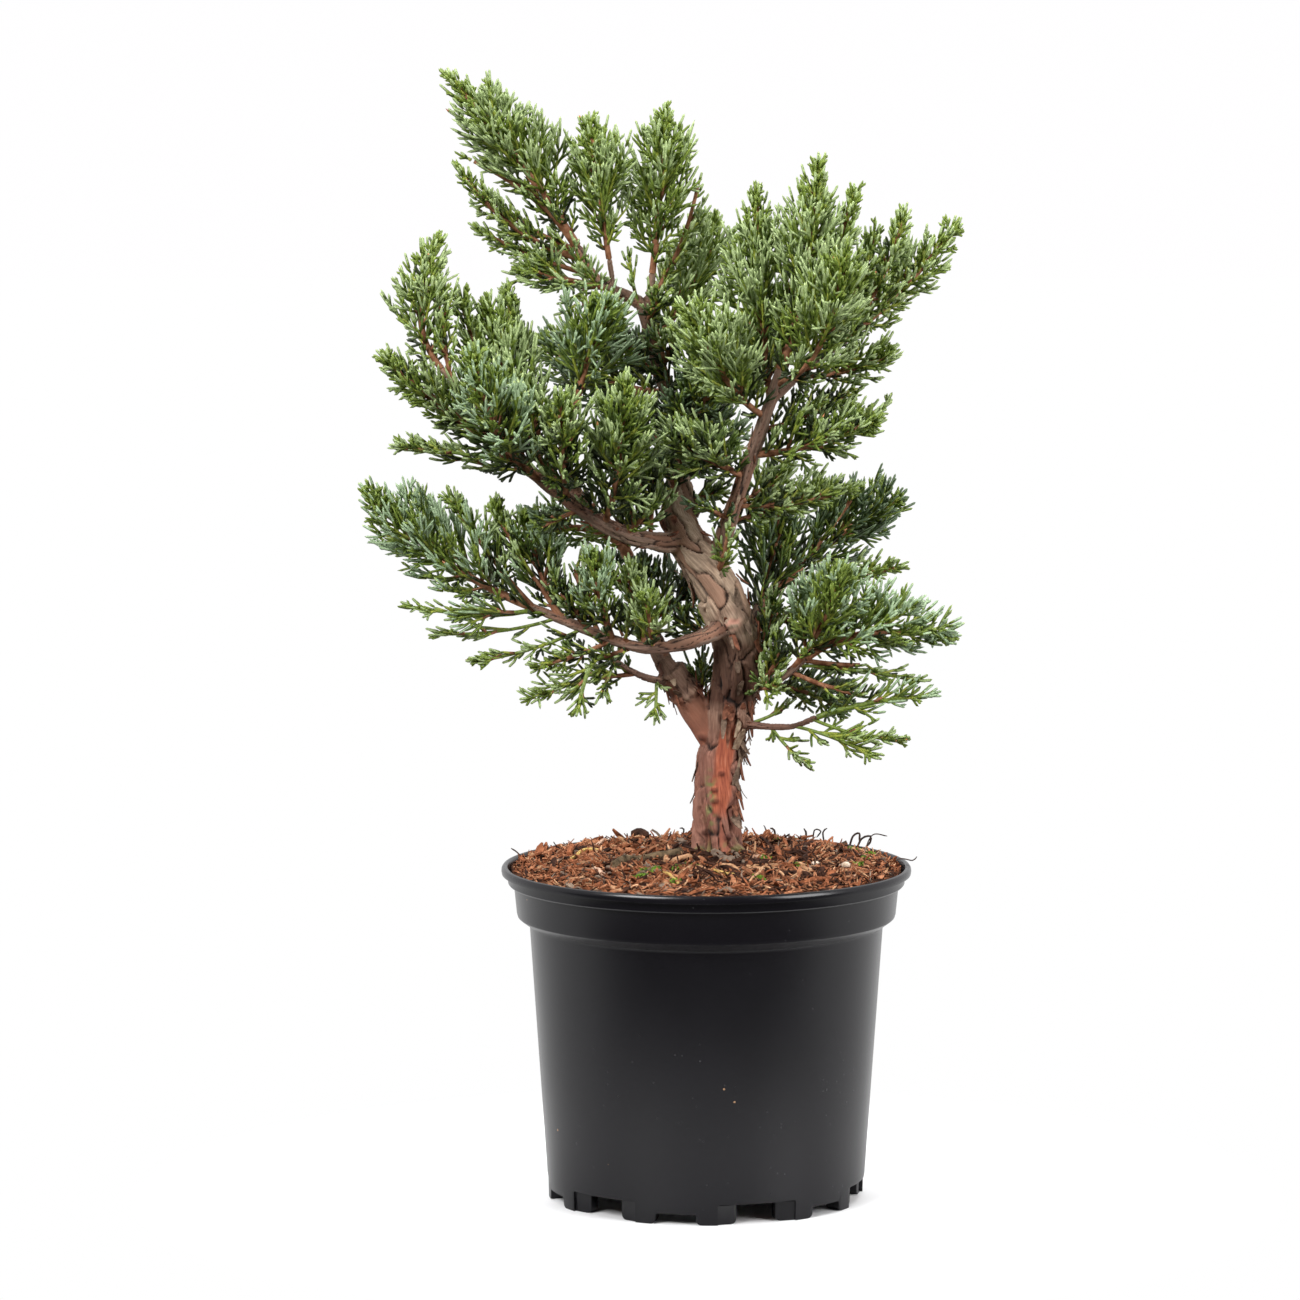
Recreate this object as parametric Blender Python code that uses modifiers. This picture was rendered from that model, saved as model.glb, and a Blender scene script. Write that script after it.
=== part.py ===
"""A young garden juniper, free-grown on a curved trunk, in a black plastic nursery pot.

The woody limbs are tapered tubes that sit on one another with a hairline gap. Each mass of
foliage is one solid: a stem that grows on from its limb, twigs round it by the golden angle,
and spindle-shaped sprays of scale leaves whose roots are sunk into the wood.

Named sizes are millimetres, turned into metres by MM. Places are measured from the pot's axis
at the ground; centre_on_ground then moves the whole plant so that the origin is the middle of
its plan, at ground level.
"""
import math
import random

import bpy
import bmesh
from mathutils import Matrix, Vector

MM = 0.001
GAP = 0.3                # clearance between two solids that meet

# ---- the pot: driving sizes -------------------------------------------------------------
RIM_R = 95.0             # outer radius of the rolled rim
POT_H = 155.0
WALL = 1.6
BEAD_H = 4.0             # the rim's outermost bead
STEP_R = 92.0            # the ring under the bead
STEP_BOTTOM = 146.5
BAND_TOP_R = 89.0        # the wide band under the rim
BAND_FOOT_R = 87.6
BAND_FOOT_Z = 131.0
BODY_TOP_R = 82.0        # the tapering body under the band
BODY_TOP_Z = 127.5
BODY_FOOT_R = 73.7
FOOT_H = 9.5             # the castellated ring of feet
FOOT_R = 73.3
FOOT_INNER_R = 66.0
FLOOR_TOP = 9.0
FLOOR_UNDER = 7.5
SIDES = 36               # of everything turned

FEET_PERIOD = 60         # degrees from one drain pocket to the next
POCKET_AT = 18.6         # first pocket, in degrees from the front towards the right
POCKET_W = 37.6          # two half feet and the gap between them
POCKET_FACE_R = 69.6     # flat face of a set-back half foot
NOTCH_W = 18.8           # gap between two feet
LOW_NOTCH_H = 5.0
DRAIN_INNER_R = 60.0

# ---- the potting mix --------------------------------------------------------------------
MIX_EDGE_Z = 150.6
MIX_SHOULDER_Z = 154.6
MIX_TOP_Z = 158.4
SEAT_R = 17.0            # flat patch of mix under the trunk
FLAT_OUT_R = 27.0        # turned rings of the heap
HEAP_R = 49.0
HEAP_FALL = 1.0          # how far the heap has fallen at the second of them
HUMMOCK = 1.4            # height of its hummocks
HUMMOCK_WAVES = (95, 80) # across and along, in radians per metre

# ---- the limbs: name, the limb it grows from, then knots (x, y, z, radius) ---------------
LIMB_STEP = 13.0         # spacing of a limb's rings
DENSE_STEP = 4.0         # spacing of the points that clearances are measured from
SEAT_INSET = 1.6         # how far a limb starts inside the tip that carries it
TRUNK_FLUTES = 5
FLUTE_DEPTH = 0.07       # as a share of the radius
FLUTE_TWIST = 0.02       # radians per millimetre of height
TRUNK_SIDES = 3          # resolution of the tubes: half a circle has one more side
BOUGH_SIDES = 1
TWIG_SIDES = 0
LIMBS = {
    "trunk": (None, [(5, 8, 158.7, 13.6), (5, 8, 168, 11.7), (6, 8, 200, 10.6), (11, 6, 229, 10.9),
                     (14, -2, 258, 11.3), (5, -4, 285, 11), (-11, 4, 310, 9.4), (-13, 20, 330, 7)]),
    "leader": ("trunk", [(-13, 20, 330, 5.8), (-13, 29, 354, 4.6), (-22, 31, 385, 3.7),
                         (-30, 22, 414, 3.2)]),
    "top_left_bough": ("leader", [(-30, 22, 414, 3), (-50, 18, 425, 2.6), (-60, 15, 441, 2.3)]),
    "top_mid_shoot": ("top_left_bough", [(-43, 19, 422, 1.7), (-45, 17, 435, 1.4)]),
    "top_right_shoot": ("leader", [(-28, 24, 402, 2.1), (-25, 23, 428, 1.7)]),
    "right_bough": ("trunk", [(4, -4, 288, 5.6), (8, -9, 309, 4.3), (17, -14, 337, 3.8),
                              (34, -13, 386, 2.9)]),
    "right_wing_bough": ("right_bough", [(29, -14, 372, 2.6), (46, -5, 386, 2.3), (63, 5, 398, 2)]),
    "left_bough": ("trunk", [(-9, 3, 306, 5.8), (-22, -6, 306, 4.9), (-45, -13, 314, 4.2),
                             (-86, -23, 344, 3)]),
    "left_crest_bough": ("left_bough", [(-79, -21, 339, 2.1), (-99, -31, 363, 1.8),
                                        (-121, -31, 388, 1.5)]),
    "center_left_bough": ("left_bough", [(-54, -15, 320, 2.6), (-65, -12, 344, 2.3),
                                         (-60, -8, 370, 1.9)]),
    "second_stem": ("trunk", [(5, 8, 211, 8), (-4, 8, 225, 7.9), (-17, 4, 246, 7)]),
    "inner_left_bough": ("second_stem", [(-12, 6, 238, 5), (-22, 6, 254, 4.4), (-36, 26, 295, 3)]),
    "low_left_bough": ("trunk", [(9, -3, 271, 4.8), (0, -17, 264, 3.8), (-32, -18, 259, 2.9),
                                 (-82, -10, 277, 2.1)]),
    "low_left_shoot": ("second_stem", [(-13, 5, 240, 2.4), (-28, -4, 243, 1.9),
                                       (-44, -14, 253, 1.4)]),
    "low_right_bough": ("trunk", [(12, 3, 236, 3.6), (32, -6, 242, 2.6), (46, -10, 253, 2.1)]),
    "low_right_shoot": ("trunk", [(8, 7, 221, 3), (37, -4, 220, 1.7), (51, -8, 225, 1.4)]),
    "rear_right_bough": ("trunk", [(12, 0, 252, 4), (25, 23, 272, 3.2), (37, 33, 284, 2.7)]),
}

# ---- the foliage masses -----------------------------------------------------------------
# name: limb, share of the limb's length where the stem leaves it, heading in degrees from +X
# towards +Y, rise in degrees, length from limb to tip, curl upwards in degrees, reach of the
# sprays round the stem, and a share above 0 for the core of a dense mass
MASSES = {
    "top_left_plume": ("top_left_bough", 1.00, -172, 53, 100, -3, 32, 0.3),
    "top_left_side": ("top_left_bough", 0.84, -160, 35, 76, 12, 17, 0),
    "top_left_skirt": ("top_left_bough", 0.38, -158, 13, 48, 1, 30, 0.34),
    "top_mid_plume": ("top_mid_shoot", 1.00, -151, 81, 66, -1, 29, 0.34),
    "top_right_plume": ("top_right_shoot", 1.00, -15, 85, 77, -2, 31, 0.42),
    "rear_top_plume": ("leader", 0.79, 48, 52, 72, 14, 32, 0.36),
    "right_inner_crest": ("right_bough", 0.85, 105, 76, 101, 4, 31, 0.34),
    "right_crest": ("right_bough", 1.00, 29, 79, 98, 3, 30, 0.4),
    "right_wing_plume": ("right_wing_bough", 1.00, 13, 44, 78, -6, 22, 0.3),
    "right_front_upper": ("right_bough", 0.78, -142, 52, 70, 13, 34, 0.42),
    "right_front_plume": ("right_bough", 0.93, -42, 58, 78, 22, 34, 0.42),
    "right_front_pad": ("right_bough", 0.50, -137, 22, 54, 0, 30, 0.42),
    "right_low_side": ("right_bough", 0.60, -8, 16, 62, 6, 28, 0.3),
    "right_side_plume": ("right_wing_bough", 0.40, 4, 14, 46, 10, 22, 0),
    "left_crest": ("left_crest_bough", 1.00, 97, 80, 60, 4, 22, 0.25),
    "left_outer_plume": ("left_bough", 1.00, -172, 38, 81, -3, 30, 0.38),
    "left_outer_pad": ("left_bough", 0.93, 170, 12, 56, 4, 17, 0),
    "left_upper_plume": ("left_bough", 0.76, 160, 68, 95, 6, 36, 0.42),
    "left_front_plume": ("left_bough", 0.86, -130, 52, 80, 15, 32, 0.4),
    "center_left_crest": ("center_left_bough", 1.00, -33, 70, 52, 7, 34, 0.42),
    "center_left_front": ("left_bough", 0.70, -94, 52, 67, 15, 28, 0.4),
    "center_front_plume": ("left_bough", 0.47, -76, 60, 82, 13, 32, 0.42),
    "heart_plume": ("leader", 0.25, -70, 38, 60, 10, 28, 0.4),
    "heart_rear_pad": ("leader", 0.24, 130, -8, 60, -6, 34, 0.36),
    "rear_left_pad": ("leader", 0.50, 143, 15, 81, 9, 38, 0.42),
    "rear_right_pad": ("leader", 0.36, 42, 33, 89, 9, 38, 0.42),
    "rear_mid_pad": ("leader", 0.12, 75, 16, 78, 15, 36, 0.4),
    "low_left_tip": ("low_left_bough", 1.00, 180, 35, 94, -2, 34, 0.3),
    "low_left_upper": ("low_left_bough", 0.86, 140, 66, 51, 3, 30, 0.25),
    "low_left_inner": ("low_left_bough", 0.60, -121, 67, 47, 6, 26, 0),
    "low_left_rear": ("inner_left_bough", 1.00, 180, 14, 50, 13, 30, 0),
    "low_left_droop": ("low_left_bough", 0.90, -165, -1, 46, -5, 28, 0.25),
    "low_left_dangle": ("low_left_shoot", 1.00, -139, -52, 33, -11, 20, 0),
    "low_rear_tip": ("rear_right_bough", 1.00, 10, 34, 69, -3, 34, 0.4),
    "low_rear_inner": ("rear_right_bough", 0.50, 55, 68, 60, 10, 32, 0.36),
    "low_right_upper": ("low_right_bough", 0.78, -35, 60, 58, 7, 32, 0.36),
    "low_right_tip": ("low_right_bough", 1.00, 5, 6, 70, -3, 32, 0.3),
    "low_right_side": ("low_right_shoot", 1.00, -4, 11, 56, -10, 17, 0),
    "low_right_droop": ("low_right_shoot", 0.74, -22, -18, 44, -5, 20, 0),
    "fork_tuft": ("trunk", 0.72, -82, 52, 43, 14, 18, 0),
}
SEED = 11
STEM_STEP = 13.0         # spacing of a stem's rings
STEM_R = 2.2             # a side stem's thickest radius
STEM_TIP_R = 0.9
BEND_AT = 0.45           # where a stem bends, as a share of its length
BARE_REACH = 3.0         # reach of the space round a stem before its first twig
LEAFY_FROM = 0.12        # share of the length where the twigs begin
LEAFY_TO = 0.82          # and end
TWIG_STEP = 6.0          # spacing of the places where a twig may grow
SPRAYS = 10              # most sprays on one mass
CORE_TRIES = (1, 0.85, 0.7, 0.55)
CORE_CLEAR = 5.0         # least room round the middle of a core
ELBOW_ROOM = 0.34        # least distance between two sprays' middles, in spray lengths
TWIG_R = 1.4
TWIG_TIP_R = 0.8
TWIG_MIN = 4.0           # a twig's least bare length
GOLDEN_ANGLE = math.radians(137.5)
SPLAY_BASE = math.radians(62)
SPLAY_TIP = math.radians(26)
SPRAY_FORK = math.radians(46)
TIP_FORK = math.radians(26)
TIP_SIDE_SHARE = 0.7     # length of the sprays beside the tip
SPRAY_REACH = 1.1        # a spray's length, as a share of its mass's reach
SPRAY_MIN = 15.0
SPRAY_TRIES = (1, 0.84, 0.7, 0.56, 0.44)
SPRAY_W = 0.48           # a spray's width and thickness, as shares of its length
SPRAY_T = 0.34
SPRAY_OUTLINE = ((0, 0), (0.3, 1), (0.68, 0.8), (1, 0))   # share of length, fullness
SPRAY_SUNK = 0.5         # where a side spray's root sits, as a share of the twig's wood
SPACE_STEPS = 14         # balls along a stem that mark out its mass's space, less one
LIFT = 0.1               # how much the twigs turn up to the light
SPREAD_TIP = 0.3         # reach at the tip, as a share of the full reach
TRIANGLE_HALF = math.cos(math.radians(30))
OUTREACH = 5.0           # how far a spray may pass its mass's reach
EDGE_MARGIN = 0.8        # how far a spray stays inside the edge of its mass's space

UP = Vector((0, 0, 1))


# ---- scene and materials ------------------------------------------------------------------
for old in list(bpy.data.objects):
    bpy.data.objects.remove(old, do_unlink=True)

plant = bpy.data.collections.new("potted_juniper")
bpy.context.scene.collection.children.link(plant)
helpers = bpy.data.collections.new("cutters")
bpy.context.scene.collection.children.link(helpers)


def material(name, colour, roughness):
    made = bpy.data.materials.new(name)
    made.use_nodes = True
    shader = made.node_tree.nodes["Principled BSDF"]
    shader.inputs["Base Color"].default_value = (*colour, 1)
    shader.inputs["Roughness"].default_value = roughness
    shader.inputs["Metallic"].default_value = 0.0
    return made


POT_PLASTIC = material("black_plastic", (0.012, 0.012, 0.013), 0.38)
POTTING_MIX = material("potting_mix", (0.09, 0.05, 0.03), 0.95)
BARK = material("bark", (0.25, 0.16, 0.12), 0.85)
FOLIAGE = material("foliage", (0.09, 0.16, 0.08), 0.7)


# ---- small helpers ------------------------------------------------------------------------
def add_object(name, mesh, collection, surface=None):
    made = bpy.data.objects.new(name, mesh)
    collection.objects.link(made)
    if surface:
        made.data.materials.append(surface)
    return made


def helper(name, mesh):
    made = add_object(name, mesh, helpers)
    made.hide_render = True
    made.display_type = "WIRE"
    return made


def remove(thing):
    bpy.data.objects.remove(thing, do_unlink=True)


def bake(thing):
    """Replace an object's mesh by what its modifiers make of it."""
    bpy.context.view_layer.update()
    seen = thing.evaluated_get(bpy.context.evaluated_depsgraph_get())
    result = bpy.data.meshes.new_from_object(seen)
    thing.modifiers.clear()
    thing.data = result


def boolean(thing, operation, other=None, group=None, solver="EXACT"):
    step = thing.modifiers.new(operation.lower(), "BOOLEAN")
    step.operation = operation
    step.solver = solver
    if group:
        step.operand_type = "COLLECTION"
        step.collection = group
    else:
        step.object = other
    return step


def drop_scraps(mesh):
    """Keep only the largest of a mesh's loose pieces."""
    shape = bmesh.new()
    shape.from_mesh(mesh)
    pieces = []
    unseen = set(shape.verts)
    while unseen:
        front = [unseen.pop()]
        piece = set(front)
        while front:
            vertex = front.pop()
            for edge in vertex.link_edges:
                other = edge.other_vert(vertex)
                if other in unseen:
                    unseen.discard(other)
                    piece.add(other)
                    front.append(other)
        pieces.append(piece)
    pieces.sort(key=len)
    for piece in pieces[:-1]:
        bmesh.ops.delete(shape, geom=list(piece), context="VERTS")
    shape.to_mesh(mesh)
    shape.free()


def curve_path(knots, spacing):
    """Points every few millimetres along a smooth curve through the knots."""
    ends = [[2 * a - b for a, b in zip(knots[0], knots[1])],
            [2 * a - b for a, b in zip(knots[-1], knots[-2])]]
    chain = [ends[0], *knots, ends[1]]
    points = []
    for before, start, end, after in zip(chain, chain[1:], chain[2:], chain[3:]):
        reach = math.dist(start[:3], end[:3])
        count = max(1, round(reach / spacing))
        for step in range(count):
            t = step / count
            points.append([0.5 * (2 * b + (c - a) * t + (2 * a - 5 * b + 4 * c - d) * t * t
                                  + (3 * b - a - 3 * c + d) * t ** 3)
                           for a, b, c, d in zip(before, start, end, after)])
    points.append(list(knots[-1]))
    return [(Vector(p[:3]), p[3]) for p in points]


def point_at(path, share):
    """Place, radius and direction at a share of a path's length."""
    lengths = [(b[0] - a[0]).length for a, b in zip(path, path[1:])]
    left = share * sum(lengths)
    for (start, r0), (end, r1), length in zip(path, path[1:], lengths):
        if left <= length or end is path[-1][0]:
            t = min(1.0, left / length)
            return start.lerp(end, t), r0 + (r1 - r0) * t, (end - start).normalized()
        left -= length


def tube(name, path, sides_level):
    """A closed tapered tube along a path of (point, radius)."""
    data = bpy.data.curves.new(name, "CURVE")
    data.dimensions = "3D"
    data.bevel_depth = MM
    data.bevel_resolution = sides_level
    data.use_fill_caps = True
    spline = data.splines.new("POLY")
    spline.points.add(len(path) - 1)
    for knot, (place, radius) in zip(spline.points, path):
        knot.co = (*(place * MM), 1)
        knot.radius = radius
    carrier = bpy.data.objects.new(name + "_curve", data)
    helpers.objects.link(carrier)
    bpy.context.view_layer.update()
    seen = carrier.evaluated_get(bpy.context.evaluated_depsgraph_get())
    mesh = bpy.data.meshes.new_from_object(seen)
    remove(carrier)
    shape = bmesh.new()
    shape.from_mesh(mesh)
    bmesh.ops.remove_doubles(shape, verts=shape.verts, dist=0.00001)
    bmesh.ops.recalc_face_normals(shape, faces=shape.faces)
    shape.to_mesh(mesh)
    shape.free()
    mesh.name = name
    return mesh


def grown(path, extra):
    """The same path, thicker and longer at its tip by the clearance."""
    place, radius = path[-1]
    onward = (place - path[-2][0]).normalized()
    return [(p, r + extra) for p, r in path[:-1]] + [(place + onward * extra, radius + extra)]


# ---- the pot ------------------------------------------------------------------------------
def turned(name, profile, surface):
    """A solid of revolution from a profile of (radius, height)."""
    mesh = bpy.data.meshes.new(name)
    points = [(r * MM, 0, z * MM) for r, z in profile]
    mesh.from_pydata(points, [(i, i + 1) for i in range(len(points) - 1)], [])
    made = add_object(name, mesh, plant, surface)
    screw = made.modifiers.new("turn", "SCREW")
    screw.steps = SIDES
    screw.render_steps = SIDES
    screw.use_merge_vertices = True
    screw.merge_threshold = 0.00001
    screw.use_smooth_shade = True
    bake(made)
    return made


def cutter_box(name, width, inner_r, outer_r, low, high, degrees_from_front):
    """A box across the ring of feet, centred on an angle from the pot's front."""
    shape = bmesh.new()
    bmesh.ops.create_cube(shape, size=1)
    size = Vector((outer_r - inner_r, width, high - low)) * MM
    middle = Vector(((outer_r + inner_r) / 2, 0, (high + low) / 2)) * MM
    bmesh.ops.scale(shape, vec=size, verts=shape.verts)
    bmesh.ops.translate(shape, vec=middle, verts=shape.verts)
    mesh = bpy.data.meshes.new(name)
    shape.to_mesh(mesh)
    shape.free()
    made = helper(name, mesh)
    made.rotation_euler.z = math.radians(degrees_from_front - 90)
    return made


def make_pot():
    inside = WALL
    profile = [
        (0, FLOOR_TOP),
        (BODY_FOOT_R - inside, FLOOR_TOP),
        (BODY_TOP_R - inside, BODY_TOP_Z + 1),
        (BAND_FOOT_R - inside, BAND_FOOT_Z + 1.5),
        (BAND_TOP_R - inside, STEP_BOTTOM),
        (STEP_R - inside, STEP_BOTTOM + inside),
        (STEP_R + 0.4, POT_H),
        (RIM_R, POT_H),
        (RIM_R, POT_H - BEAD_H),
        (STEP_R, POT_H - BEAD_H),
        (STEP_R, STEP_BOTTOM),
        (BAND_TOP_R, STEP_BOTTOM),
        (BAND_FOOT_R, BAND_FOOT_Z),
        (BODY_TOP_R, BODY_TOP_Z),
        (BODY_FOOT_R, FOOT_H),
        (FOOT_R, 0),
        (FOOT_INNER_R, 0),
        (FOOT_INNER_R, FLOOR_UNDER),
        (0, FLOOR_UNDER),
    ]
    pot = turned("pot", profile, POT_PLASTIC)
    beyond = RIM_R
    for index in range(360 // FEET_PERIOD):
        at = POCKET_AT + index * FEET_PERIOD
        cutter_box(f"pocket_{index}", POCKET_W, POCKET_FACE_R, beyond, -1, FOOT_H, at)
        cutter_box(f"drain_{index}", NOTCH_W, DRAIN_INNER_R, beyond, -1, FOOT_H, at)
        cutter_box(f"low_notch_{index}", NOTCH_W, FOOT_INNER_R - 2, beyond, -1, LOW_NOTCH_H,
                   at + FEET_PERIOD / 2)
    boolean(pot, "DIFFERENCE", group=helpers)
    bake(pot)
    for cutter in list(helpers.objects):
        remove(cutter)
    pot.data.shade_smooth()
    pot.data.set_sharp_from_angle(angle=math.radians(30))
    return pot


def make_mix():
    """The filling: a turned plug, heaped above the rim, with a flat seat under the trunk."""
    inside = WALL + GAP
    profile = [
        (0, MIX_TOP_Z),
        (FLAT_OUT_R, MIX_TOP_Z),
        (HEAP_R, MIX_TOP_Z - HEAP_FALL),
        (BAND_TOP_R - inside - 12, MIX_SHOULDER_Z),
        (BAND_TOP_R - inside - 1, MIX_EDGE_Z - 1),
        (BAND_FOOT_R - inside, BAND_FOOT_Z + 1.5),
        (BODY_TOP_R - inside, BODY_TOP_Z + 1),
        (BODY_FOOT_R - inside, FLOOR_TOP + GAP),
        (0, FLOOR_TOP + GAP),
    ]
    mix = turned("potting_mix", profile, POTTING_MIX)
    trunk_foot = Vector(LIMBS["trunk"][1][0][:2]) * MM
    rim = (BAND_TOP_R - inside - 6) * MM
    for vertex in mix.data.vertices:
        x, y, z = vertex.co
        clear = (Vector((x, y)) - trunk_foot).length - SEAT_R * MM
        if z > (MIX_EDGE_Z + 1) * MM and clear > 0 and math.hypot(x, y) < rim:
            wave = math.sin(x * HUMMOCK_WAVES[0] + 1) * math.cos(y * HUMMOCK_WAVES[1] - 0.6)
            vertex.co.z += HUMMOCK * MM * wave * min(1, clear / 0.01)
    return mix


# ---- trunk and boughs ---------------------------------------------------------------------
def limb_paths():
    """Every limb as closely spaced points; a limb that goes on from a tip starts inside it."""
    paths = {}
    for name, (parent, knots) in LIMBS.items():
        path = curve_path(knots, LIMB_STEP)
        if parent and (path[0][0] - paths[parent][-1][0]).length < 1:
            inward = (paths[parent][-2][0] - path[0][0]).normalized()
            path[0] = (path[0][0] + inward * SEAT_INSET, path[0][1])
        paths[name] = path
    return paths


def meets(path, other, margin):
    """True where two paths of spheres come closer than a margin."""
    return any((a - b).length < ra + rb + margin for a, ra in path for b, rb in other)


def flute(mesh, path):
    """Press shallow flutes, twisting slowly upwards, into the trunk."""
    for vertex in mesh.vertices:
        place = vertex.co / MM
        centre = min((p for p, _ in path), key=lambda p: (p - place).length)
        out = place - centre
        angle = math.atan2(out.y, out.x) + centre.z * FLUTE_TWIST
        vertex.co = (centre + out * (1 + FLUTE_DEPTH * math.cos(TRUNK_FLUTES * angle))) * MM


def make_limbs(paths):
    """Each limb is cut by the clearance round every earlier limb that it meets."""
    earlier = []
    for name, path in paths.items():
        thick = name == "trunk"
        mesh = tube(name, path, TRUNK_SIDES if thick else BOUGH_SIDES)
        if thick:
            flute(mesh, path)
        limb = add_object(name, mesh, plant, BARK)
        for other in earlier:
            if meets(path, dense(paths[other]), 2):
                cut_by_limb(limb, other, paths[other])
        earlier.append(name)
        limb.data.shade_smooth()
        limb.data.set_sharp_from_angle(angle=math.radians(50))


def dense(path):
    """A path with extra points, a few millimetres apart."""
    points = []
    for (a, ra), (b, rb) in zip(path, path[1:]):
        count = max(1, round((b - a).length / DENSE_STEP))
        points += [(a.lerp(b, i / count), ra + (rb - ra) * i / count) for i in range(count)]
    return points + [path[-1]]


def cut_by_limb(thing, name, path, solver="EXACT"):
    """Cut a limb or mass by another limb grown by the clearance."""
    thick = name == "trunk"
    mesh = tube("clearance", grown(path, GAP), TRUNK_SIDES if thick else BOUGH_SIDES)
    if thick:
        flute(mesh, grown(path, GAP))
    cutter = helper("clearance", mesh)
    boolean(thing, "DIFFERENCE", other=cutter, solver=solver)
    bake(thing)
    drop_scraps(thing.data)
    remove(cutter)


# ---- foliage ------------------------------------------------------------------------------
def heading_vector(heading, rise):
    a, b = math.radians(heading), math.radians(rise)
    return Vector((math.cos(b) * math.cos(a), math.cos(b) * math.sin(a), math.sin(b)))


def stem_path(spec, paths):
    """A stem bends from its first direction to its tip along a quadratic curve."""
    limb, share, heading, rise, length, curl, _reach, _core = spec
    start, limb_r, onward = point_at(paths[limb], share)
    tip = start + heading_vector(heading, rise) * length
    if share == 1:
        first, radius = onward, limb_r
        start = start - onward * SEAT_INSET
    else:
        first, radius = heading_vector(heading, rise - 2 * curl), min(STEM_R, 0.7 * limb_r)
    bend = start + first * length * BEND_AT
    count = max(4, round(length / STEM_STEP))
    path = []
    for step in range(count + 1):
        t = step / count
        place = start * (1 - t) ** 2 + bend * 2 * t * (1 - t) + tip * t * t
        path.append((place, radius + (STEM_TIP_R - radius) * t))
    return path


def spread(spec, t):
    """Reach of the sprays round a stem: fuller in the middle, drawn in at the tip."""
    if t < LEAFY_FROM / 2:
        return BARE_REACH
    along = (t - LEAFY_FROM / 2) / (1 - LEAFY_FROM / 2)
    fullness = math.sin(math.pi * min(1, 1.1 * along ** 0.75))
    return spec[6] * (SPREAD_TIP + (1 - SPREAD_TIP) * fullness)


class Space:
    """Which mass a place belongs to, and whether it is clear of the wood."""

    def __init__(self, stems, paths):
        self.cells = {}
        for name, path in stems.items():
            shares = [step / SPACE_STEPS for step in range(SPACE_STEPS + 1)]
            self.cells[name] = [(point_at(path, t)[0], spread(MASSES[name], t)) for t in shares]
        self.wood = {name: dense(path) for name, path in {**paths, **stems}.items()}

    def depth(self, name, place):
        return min((place - centre).length - radius for centre, radius in self.cells[name])

    def owns(self, name, place):
        """True where a place is nearer to this mass than to any other."""
        own = self.depth(name, place)
        return own < OUTREACH and all(self.depth(other, place) > own + EDGE_MARGIN
                                      for other in self.cells if other != name)

    def off_wood(self, name, place, margin):
        """True where a ball of this radius is clear of every other limb and stem."""
        return all((place - p).length > r + margin + GAP
                   for other, points in self.wood.items() if other != name for p, r in points)


def lathe_like(name, rings):
    """A three-sided closed shape along +Z through rings of (height, half width, half thickness)."""
    shape = bmesh.new()
    bmesh.ops.create_uvsphere(shape, u_segments=3, v_segments=len(rings) - 1, radius=1)
    for vertex in shape.verts:
        polar = math.acos(max(-1, min(1, -vertex.co.z))) / math.pi
        height, wide, thick = rings[round(polar * (len(rings) - 1))]
        around = math.atan2(vertex.co.y, vertex.co.x) + math.pi / 2
        vertex.co = (wide * math.cos(around) / TRIANGLE_HALF, thick * math.sin(around), height)
    mesh = bpy.data.meshes.new(name)
    shape.to_mesh(mesh)
    shape.free()
    return mesh


def spray_rings(root, length):
    """A plume of scale leaves: pointed at its root and tip, broad between."""
    return [(root + share * length, SPRAY_W / 2 * length * full, SPRAY_T / 2 * length * full)
            for share, full in SPRAY_OUTLINE]


def shoot_mesh(wood, length):
    """A three-sided twig that swells into the spray at its end."""
    return lathe_like("shoot", [(0, 0, 0), (0.4, TWIG_R, TWIG_R), (wood, TWIG_TIP_R, TWIG_TIP_R),
                                *spray_rings(wood, length)[1:]])


def standing(root, direction, side):
    """The turn and place that stand a +Z shape at a root, with its X axis to one side."""
    axis_z = direction.normalized()
    axis_y = axis_z.cross(side).normalized()
    axis_x = axis_y.cross(axis_z)
    turn = Matrix((axis_x, axis_y, axis_z)).transposed().to_4x4()
    return Matrix.Translation(root) @ turn


def core_mesh(radius, length, dice):
    shape = bmesh.new()
    bmesh.ops.create_uvsphere(shape, u_segments=5, v_segments=5, radius=1)
    for vertex in shape.verts:
        x, y, z = vertex.co
        lump = dice.uniform(0.8, 1.1)
        vertex.co = (x * radius * lump, y * radius * lump, (z + 1) * length / 2)
    mesh = bpy.data.meshes.new("core")
    shape.to_mesh(mesh)
    shape.free()
    return mesh


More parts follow.
